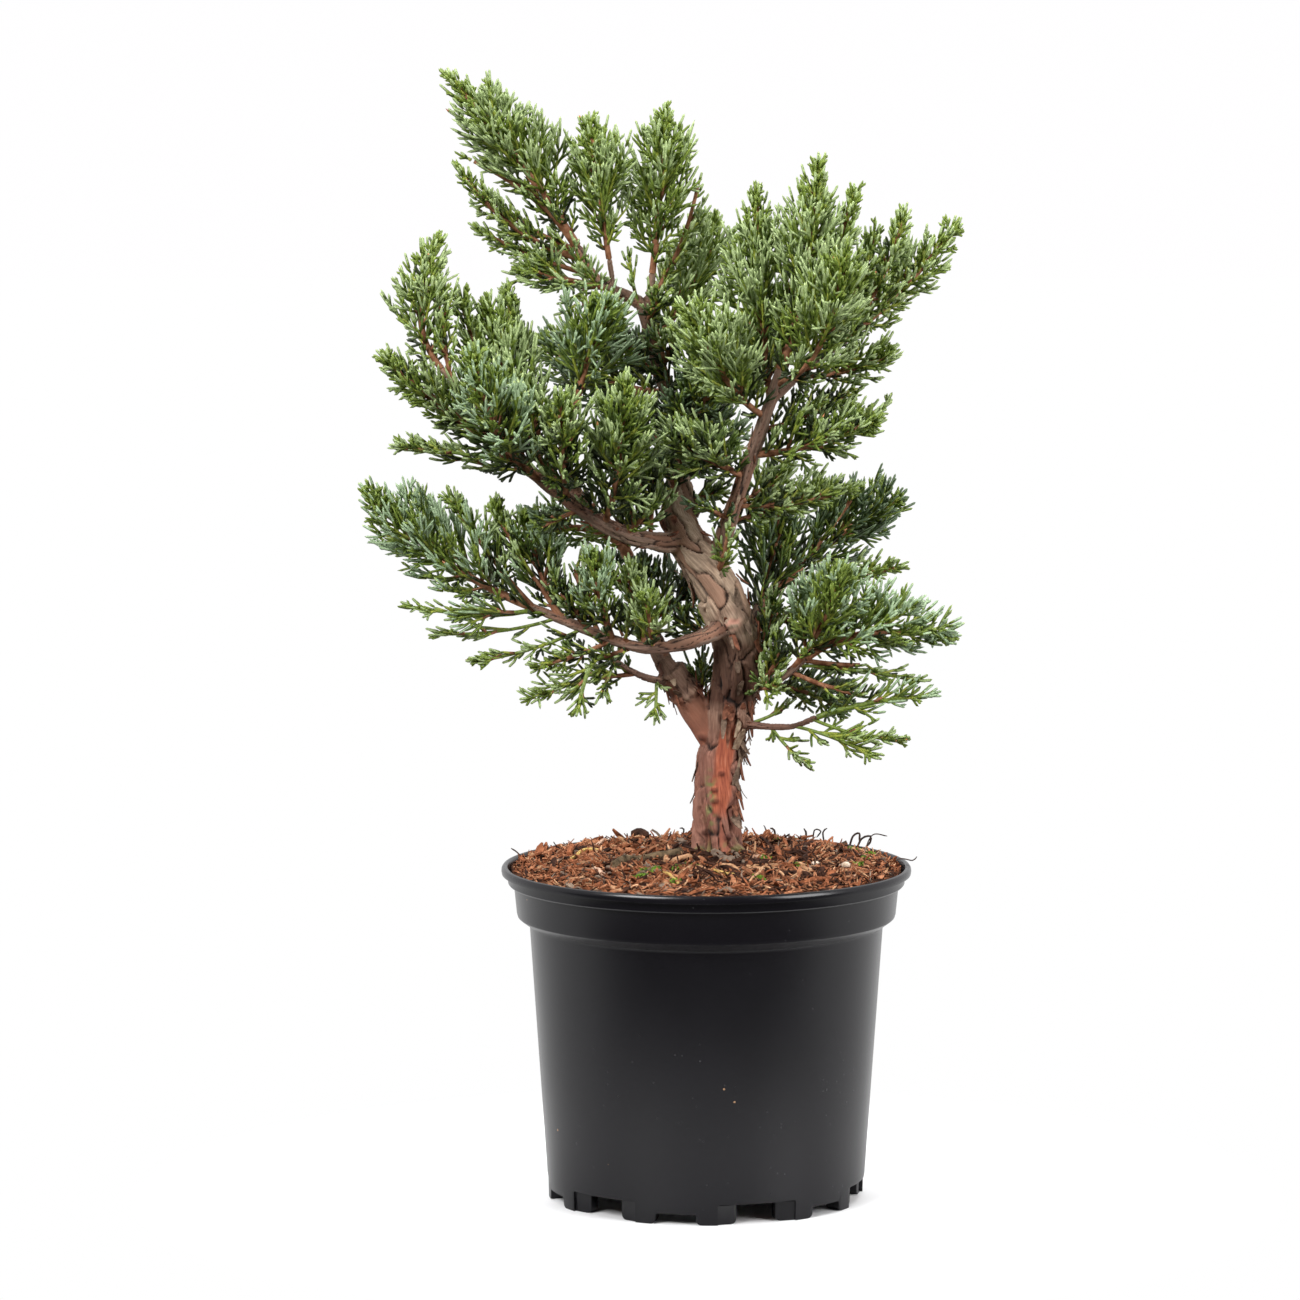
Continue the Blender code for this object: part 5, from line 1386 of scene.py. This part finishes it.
def stem_path(name, spec):
    """A stem bends from its first direction to its tip along a quadratic curve."""
    row, onward = at_share(paths[spec.limb], [spec.share])
    start, limb_r = row[0, :3], row[0, 3]
    tip = start + heading_vector(spec.heading, spec.rise) * spec.length
    if spec.share == 1:
        first, base_r = onward[0], limb_r
    else:
        thickest = STRAND_R if is_strand(name) else SPRAY_R if name in SPRAYS else STEM_R
        first = heading_vector(spec.heading, spec.rise - 2 * spec.curl)
        base_r = min(thickest, 0.7 * limb_r)
    bend = start + first * spec.length * BEND_AT
    t = np.linspace(0, 1, 24)[:, None]
    line = start * (1 - t) ** 2 + bend * 2 * t * (1 - t) + tip * t * t
    return np.hstack([line, base_r + (min(STEM_TIP_R, 0.8 * base_r) - base_r) * t])


def spread(spec, t):
    """Reach of the shoots round a stem: fuller in the middle, drawn in at the tip."""
    share = np.clip((t - LEAFY_FROM / 2) / (1 - LEAFY_FROM / 2), 0, 1)
    fullness = np.sin(math.pi * np.minimum(1, 1.1 * share ** 0.75))
    reach = spec.reach * (SPREAD_TIP + (1 - SPREAD_TIP) * fullness)
    return np.where(t < LEAFY_FROM / 2, BARE_REACH, reach)


stems = {name: stem_path(name, spec) for name, spec in GROWTH.items()}
SPACE_SHARES = np.linspace(0, 1, 15)    # a mass's space is a sleeve of spheres along its stem
space_centres = np.stack([at_share(stem, SPACE_SHARES)[0][:, :3] for stem in stems.values()])
space_reach = np.stack([spread(spec, SPACE_SHARES) for spec in GROWTH.values()])
closing = np.clip((1 - SPACE_SHARES) / 0.28, 0, 1)
space_reach = SLEEVE_TIP + (SLEEVE * space_reach - SLEEVE_TIP) * closing
wood_rows = np.vstack(list(paths.values()))


def outside_sleeves(places):
    """How far each place is outside each mass's sleeve, worked out in blocks to save memory."""
    depth = np.empty((len(places), len(space_centres)))
    for start in range(0, len(places), 3000):
        block = places[start:start + 3000]
        away = np.linalg.norm(block[:, None, None] - space_centres[None], axis=3) - space_reach
        depth[start:start + 3000] = away.min(axis=2)
    return depth


def in_space(number, places, outreach):
    """True where a place is within a mass's reach and no deeper in another's than they mingle."""
    depth = outside_sleeves(places)
    own = depth[:, number].copy()
    depth[:, number] = np.inf
    return (own < outreach) & (depth.min(axis=1) > own - SHARED_EDGE)


def crowding(places):
    """How many masses' sleeves each place is in, or close to."""
    return (outside_sleeves(places) < CROWDED).sum(axis=1)


def off_wood(places, margin):
    """True where a place is clear of every limb by more than the margin."""
    away = np.linalg.norm(places[:, None] - wood_rows[None, :, :3], axis=2) - wood_rows[None, :, 3]
    return away.min(axis=1) > margin


def turned_about(vectors, axes, angles):
    """Rodrigues' rotation, row by row."""
    c, s = np.cos(angles)[:, None], np.sin(angles)[:, None]
    return (vectors * c + np.cross(axes, vectors) * s
            + axes * (vectors * axes).sum(1, keepdims=True) * (1 - c))


def any_normal(vectors):
    """A unit vector square to each row, the same for the same row."""
    guide = np.where(np.abs(vectors[:, 2:3]) < 0.9, (0.0, 0.0, 1.0), (1.0, 0.0, 0.0))
    return unit(np.cross(vectors, guide))


class Cords:
    """A growing list of curved cords: where each starts, how it runs, its size and its tints."""

    def __init__(self):
        self.rows = []

    def add(self, start, direction, bend, length, radius, tints):
        """start, direction and bend have a row for each cord; tints a column for each part."""
        self.rows.append((start, direction, bend, length, radius, tints))

    def all(self):
        """Each column of the list, end to end."""
        return [np.concatenate(column) for column in zip(*self.rows)]


def cord_mesh(cords, name, sides, shares, fullness, materials):
    """One mesh of all the cords: rings at shares of the length, and a point at the end."""
    start, direction, bend, length, radius, tints = cords.all()
    count, rings = len(start), len(shares)
    binormal = np.cross(direction, bend)
    weak = np.linalg.norm(binormal, axis=1) < 1e-6
    binormal[weak] = any_normal(direction)[weak]
    binormal = unit(binormal)
    verts = rings * sides + 1
    points = np.empty((count, verts, 3))
    for ring, (share, full) in enumerate(zip(shares, fullness)):
        middle = start + (direction * share + bend * share ** 2) * length[:, None]
        tangent = unit(direction + 2 * share * bend)
        normal = np.cross(tangent, binormal)
        for corner in range(sides):
            turn = math.tau * (corner + 0.5) / sides
            out = binormal * math.cos(turn) + normal * math.sin(turn)
            points[:, ring * sides + corner] = middle + out * (radius * full)[:, None]
    points[:, -1] = start + (direction + bend) * length[:, None]
    first = np.arange(count)[:, None] * verts
    blocks = ring_faces(first, rings, sides)
    slots = [tints[:, min(block // sides, tints.shape[1] - 1)] for block in range(len(blocks))]
    base = (rings - 1) * sides
    for corner in range(sides):
        after = (corner + 1) % sides
        blocks.append(first + np.array([base + corner, base + after, verts - 1]))
        slots.append(tints[:, -1])
    blocks.append(first + np.arange(sides)[::-1])
    slots.append(tints[:, 0])
    world_points = (points.reshape(-1, 3) + POT_MM) * MM
    return array_mesh(name, world_points, blocks, slots, materials)


def leaf(name, colour, light):
    """Scale leaves in one tint: waxy, slightly mottled, with a soft sheen."""
    made, shader, nodes, links = new_material(name, colour, 0.5)
    mottled(nodes, links, shader, 60.0, 900.0, "Grain", ((0.35, colour), (0.65, light)), (0.5, 0.3))
    return made


LEAF_TINTS = (              # name, base colour, lighter colour
    ("sage", (0.195, 0.27, 0.097), (0.395, 0.49, 0.215)),
    ("blue", (0.195, 0.285, 0.147), (0.395, 0.515, 0.31)),
    ("green", (0.095, 0.145, 0.016), (0.225, 0.305, 0.045)),
    ("gold", (0.2, 0.24, 0.02), (0.38, 0.42, 0.07)),
    ("tip", (0.24, 0.32, 0.11), (0.43, 0.52, 0.22)),
    # painted shade: the next three are darker copies of the sage and green tints, for leaves in shade,
    # the last nearly black
    ("shaded_sage", (0.06, 0.1, 0.042), (0.155, 0.22, 0.11)),
    ("shaded_green", (0.045, 0.08, 0.01), (0.11, 0.165, 0.026)),
    ("shade", (0.015, 0.026, 0.005), (0.036, 0.055, 0.009)),
    ("dead", (0.3, 0.1, 0.03), (0.5, 0.22, 0.08)),
)
SAGE, BLUE, GREEN, GOLD, TIP, SHADED_SAGE, SHADED_GREEN, SHADE, DEAD = range(len(LEAF_TINTS))
leaf_stuff = [leaf(tint + "_leaves", colour, light) for tint, colour, light in LEAF_TINTS]
twig_bark = natural("twig_bark", (0.15, 0.056, 0.026), (0.38, 0.18, 0.1), 0.7)
twig_stuff = [twig_bark, leaf_stuff[GOLD], leaf_stuff[GREEN]]

BLUE_MASSES = ("low_left_tip", "low_left_inner", "low_left_upper", "low_left_rear", "low_right_tip",
               "low_right_upper", "low_rear_tip", "low_left_droop", "left_front_plume",
               "center_left_crest", "low_right_side")
SHADED_MASSES = ("low_rear_tip", "low_rear_inner", "heart_rear_pad", "rear_left_pad", "rear_mid_pad",
                 "heart_plume", "rear_right_skirt", "behind_fork", "behind_stem", "behind_trunk",
                 "low_right_rear", "under_left", "inner_left_up", "inner_left_low", "stem_gap",
                 "leader_front_low", "leader_cover_1", "leader_cover_2", "heart_left", "heart_right",
                 "heart_low", "fork_rear", "fork_cover_1", "fork_cover_2", "fork_cover_3",
                 "right_inner_fill", "left_fork_fill", "left_under_fill")
# Painted shade, as a branchlet's gloom: a crowded place, a place near its stem, and being one of the
# masses in shade darken its tint; the tips of the stems get less of it.
CROWD_GLOOM, USUAL_CROWD = 0.14, 2.4
INNER_GLOOM, INNER_UNDER = 1.9, 0.4
SHADED_GLOOM = 0.32
TIP_LIGHT = 0.45
SHADED_GREEN_OVER = 0.28            # gloom from which a branchlet takes the darker green of painted shade,
SHADE_OVER = 0.55           # and from which it is nearly black
DEAD_SHARE = 0.004
FORKS = ((0.26, 0.6), (0.46, 0.8), (0.66, 0.65))      # place on the branchlet, and how likely


def shoots_of(number, spec, stem, dice, strand):
    """Shoots round the stem, where there's room: place, direction, curve, length, t, outreach."""
    step = STRAND_STEP if strand else SHOOT_STEP if spec.fullness else THIN_STEP
    count = max(3, round(spec.length * 0.95 / step))
    t = np.append(np.linspace(LEAFY_FROM * 0.5, 1 - LAST_SHOOT / spec.length, count),
                  1 - 2.4 * LAST_SHOOT / spec.length)
    count += 1
    place, onward = at_share(stem, t)
    place = place[:, :3]
    angle = dice.uniform(0, math.tau) + np.arange(count) * GOLDEN_ANGLE
    side = turned_about(any_normal(onward), onward, angle)
    splay = SPLAY_BASE + (SPLAY_TIP - SPLAY_BASE) * t + dice.normal(0, 0.12, count)
    splay = splay * 0.7 if strand else splay
    splay[-1] = 0.05
    direction = unit(onward * np.cos(splay)[:, None] + side * np.sin(splay)[:, None] + UP * LIFT)
    outreach = OUTREACH[0] + (OUTREACH[1] - OUTREACH[0]) * dice.uniform(0, 1, count) ** 2.5
    length = spread(spec, t) * dice.uniform(0.6, 1.0, count)
    length *= 1 + np.where(side[:, 2] < 0, UNDERSIDE, 0.1) * side[:, 2]
    room = ((1 - t) * spec.length - 3) / np.cos(splay)
    length = np.maximum(3, np.minimum(length, room))
    length[-1] = 1.9 * LAST_SHOOT
    curve = (onward * 0.2 + UP * 0.2) * np.sin(splay)[:, None]
    keep = np.zeros(count, bool)
    for _ in range(4):
        tip = place + (direction + curve) * length[:, None]
        middle = place + (direction * 0.6 + curve * 0.36) * length[:, None]
        fine = in_space(number, tip, outreach) & off_wood(tip, 1.5) & off_wood(middle, 0.5)
        keep |= fine
        length = np.where(keep, length, length * 0.8)
    return tuple(column[keep] for column in (place, direction, curve, length, t, outreach))


def branchlets_of(number, shoots, dice, strand):
    """Branchlets to either side by turns along the shoots, where there's room, and their shoots."""
    place, direction, curve, length, _, outreach = shoots
    flat = unit(np.cross(direction, any_normal(direction)))
    flat = turned_about(flat, direction, dice.uniform(0, math.tau, len(place)))
    wanted = np.maximum(3, np.round(length / BRANCHLET_STEP)).astype(int)
    shoot = np.repeat(np.arange(len(place)), wanted)
    order = np.concatenate([np.arange(n) for n in wanted])
    u = 0.12 + 0.82 * (order + dice.uniform(-0.3, 0.3, len(shoot))) / wanted[shoot]
    u = np.clip(u, 0.05, 0.97)
    step = direction[shoot] * u[:, None] + curve[shoot] * (u ** 2)[:, None]
    root = place[shoot] + step * length[shoot][:, None]
    tangent = unit(direction[shoot] + 2 * u[:, None] * curve[shoot])
    way = np.where(order % 2 == 0, 1.0, -1.0)
    lateral = turned_about(flat[shoot], tangent, dice.normal(0, 0.35, len(shoot))) * way[:, None]
    lateral = unit(lateral - tangent * (lateral * tangent).sum(1, keepdims=True))
    lean = np.radians((40 if strand else 52) - 16 * u + dice.normal(0, 7, len(shoot)))[:, None]
    outward = unit(tangent * np.cos(lean) + lateral * np.sin(lean))
    fall = np.sin(math.pi * np.clip(0.3 + 0.62 * u, 0, 1)) ** 0.8
    share, longest = BRANCHLET_L[strand]
    size = np.clip(share * length[shoot], 5.5, longest) * (0.35 + 0.65 * fall)
    size *= dice.uniform(0.7, 1.2, len(shoot))
    arch = tangent * 0.35 + UP * dice.uniform(0.08, 0.42, len(shoot))[:, None]
    fine = np.zeros(len(shoot), bool)
    for _ in range(2):
        end = root + (outward + arch) * size[:, None]
        fine |= in_space(number, end, outreach[shoot] + 2) & off_wood(end, 1.0)
        size = np.where(fine, size, size * 0.7)
    return tuple(column[fine] for column in (root, outward, arch, size, shoot, tangent, lateral))


def add_forks(side_ones, dice, strand, branchlets, tint, last_tint):
    """Lesser cords that leave a branchlet to one side and the other, most of the longer ones."""
    root, outward, arch, size, _, tangent, lateral = branchlets
    flip = np.where(dice.uniform(0, 1, len(root)) < 0.5, 1.0, -1.0)
    for fork, (share, likely) in enumerate(FORKS):
        chosen = (dice.uniform(0, 1, len(root)) < likely * (0.4 if strand else 1)) & (size > 4.5)
        start = (root + (outward * share + arch * share ** 2) * size[:, None])[chosen]
        run = unit(outward + 2 * share * arch)[chosen]
        plane = unit(np.cross(tangent, lateral)[chosen])
        beside = np.cross(plane, run) * (flip[chosen] * (-1) ** fork)[:, None]
        beside = turned_about(beside, run, dice.normal(0, 0.5, len(run)))
        lean = np.radians(dice.normal(42, 7, len(run)))[:, None]
        heading = unit(run * np.cos(lean) + beside * np.sin(lean))
        span = size[chosen] * (1 - share) * dice.uniform(0.45, 0.85, len(run)) + 1.3
        side_ones.add(start, heading, run * 0.3 + UP * 0.16, span,
                      np.full(len(run), BRANCHLET_R * 0.95),
                      np.stack([tint[chosen], last_tint[chosen]], axis=-1))


def grow_mass(number, name, spec, shade, stalks, main, side_ones):
    """The shoots, branchlets and forks of one mass; gives its last shoot's share of the stem."""
    dice = np.random.default_rng(300 + number)
    strand = is_strand(name)
    shaded = name in SHADED_MASSES
    # masses in shade take the painted-shade copy of the sage tint outside
    outer_tint = SHADED_SAGE if shaded else BLUE if name in BLUE_MASSES else SAGE
    shoots = shoots_of(number, spec, stems[name], dice, strand)
    place, direction, curve, length, t, _ = shoots
    count = len(place)
    glow = dice.uniform(0, 1, count)
    brown = np.where(dice.uniform(0, 1, count) < 0.45, 0, 1)
    stalks.add(place, direction, curve, length, np.full(count, 0.8),
               np.stack([brown, np.full(count, 1), np.full(count, 2)], axis=-1))
    branchlets = branchlets_of(number, shoots, dice, strand)
    root, outward, arch, size, shoot, _, _ = branchlets
    inner = np.linalg.norm(root + outward * size[:, None] / 2 - place[shoot], axis=1) / spec.reach
    # painted shade: gloom sets how dark a branchlet's tint is
    gloom = CROWD_GLOOM * (crowding(root) - USUAL_CROWD) + INNER_GLOOM * (INNER_UNDER - inner)
    gloom += dice.normal(0, 0.2, len(root))
    gloom += SHADED_GLOOM * shaded + shade - TIP_LIGHT * ramp_up(t[shoot], 0.6, 0.9)
    tone = 0.4 * (glow[shoot] - 0.5) + dice.normal(0, 0.1, len(root)) + 1.1 * (inner - 0.5)
    body = np.where(tone > -0.08, outer_tint, GREEN)
    body = np.where(gloom > SHADED_GREEN_OVER, SHADED_GREEN, body)
    body = np.where(gloom > SHADE_OVER, SHADE, body)
    lit = body == outer_tint
    base = np.where(lit, SHADED_GREEN if shaded else GREEN, body)
    young = ((t[shoot] > 0.8) | (glow[shoot] < 0.15)) & (not shaded)
    last = np.where(young & lit, TIP, body)
    ends = np.where(dice.uniform(0, 1, len(root)) < DEAD_SHARE, DEAD, last)
    main.add(root, outward, arch, size, np.full(len(root), BRANCHLET_R),
             np.stack([base, body, ends], axis=-1))
    tip_root = place + (direction * 0.92 + curve * 0.846) * length[:, None]
    tip_length = np.minimum(0.08 * length + 5.5, 0.3 * length + 3)
    tip_tint = np.where(((t > 0.8) | (glow < 0.3)) & (not shaded), TIP, outer_tint)
    main.add(tip_root, unit(direction + 1.9 * curve), curve * 0.4 + UP * 0.08, tip_length,
             np.full(count, BRANCHLET_R),
             np.stack([np.full(count, GREEN), np.full(count, outer_tint), tip_tint], axis=-1))
    add_forks(side_ones, dice, strand, branchlets, body, last)
    return t.max()


# Each part of the crown is a piece of leaves and a piece of twigs.
PARTS = ("top", "right", "right_front", "left", "middle", "rear", "low_left", "low_right")
# Painted light and shade by part of the crown and by mass: the open ends get less of the dark tints than
# the heart, and some masses more.
PART_GLOOM = {"top": -0.25, "low_left": -0.25, "low_right": -0.15, "right": -0.1, "middle": 0.16}
MASS_GLOOM = {"right_front_pad": 0.42, "fork_front": 0.42, "center_front_plume": 0.34,
              "left_front_plume": 0.12}


def stem_tube(name, share):
    """A mass's stem as a tube that thins and ends by its last shoot: bark, or green if slender."""
    last = max(4, math.ceil(share * (len(stems[name]) - 1)))
    made = tube_object("stem", stems[name][:last], 2)
    made.data.materials.append(leaf_stuff[GREEN] if is_strand(name) else twig_bark)
    return made


numbers = {name: number for number, name in enumerate(GROWTH)}
for part in PARTS:
    members = [name for name, spec in GROWTH.items() if spec.part == part]
    stalks, main, side_ones = Cords(), Cords(), Cords()
    reached = {name: grow_mass(numbers[name], name, GROWTH[name],
                               MASS_GLOOM.get(name, PART_GLOOM.get(part, 0)), stalks, main,
                               side_ones)
               for name in members}
    leaves = join([cord_mesh(main, "leaves", 3, (0, 0.4, 0.9), (0.85, 1.0, 0.85), leaf_stuff),
                   cord_mesh(side_ones, "forks", 3, (0, 0.78), (0.9, 1.0), leaf_stuff)],
                  part + "_leaves")
    twigs = join([cord_mesh(stalks, "stalks", 4, (0, 0.35, 0.7), (1.15, 0.95, 0.8), twig_stuff)]
                 + [stem_tube(name, reached[name]) for name in members], part + "_twigs")
    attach(leaves, "root")
    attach(twigs, "root")
    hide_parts(*(name for name in members if name in MASSES))
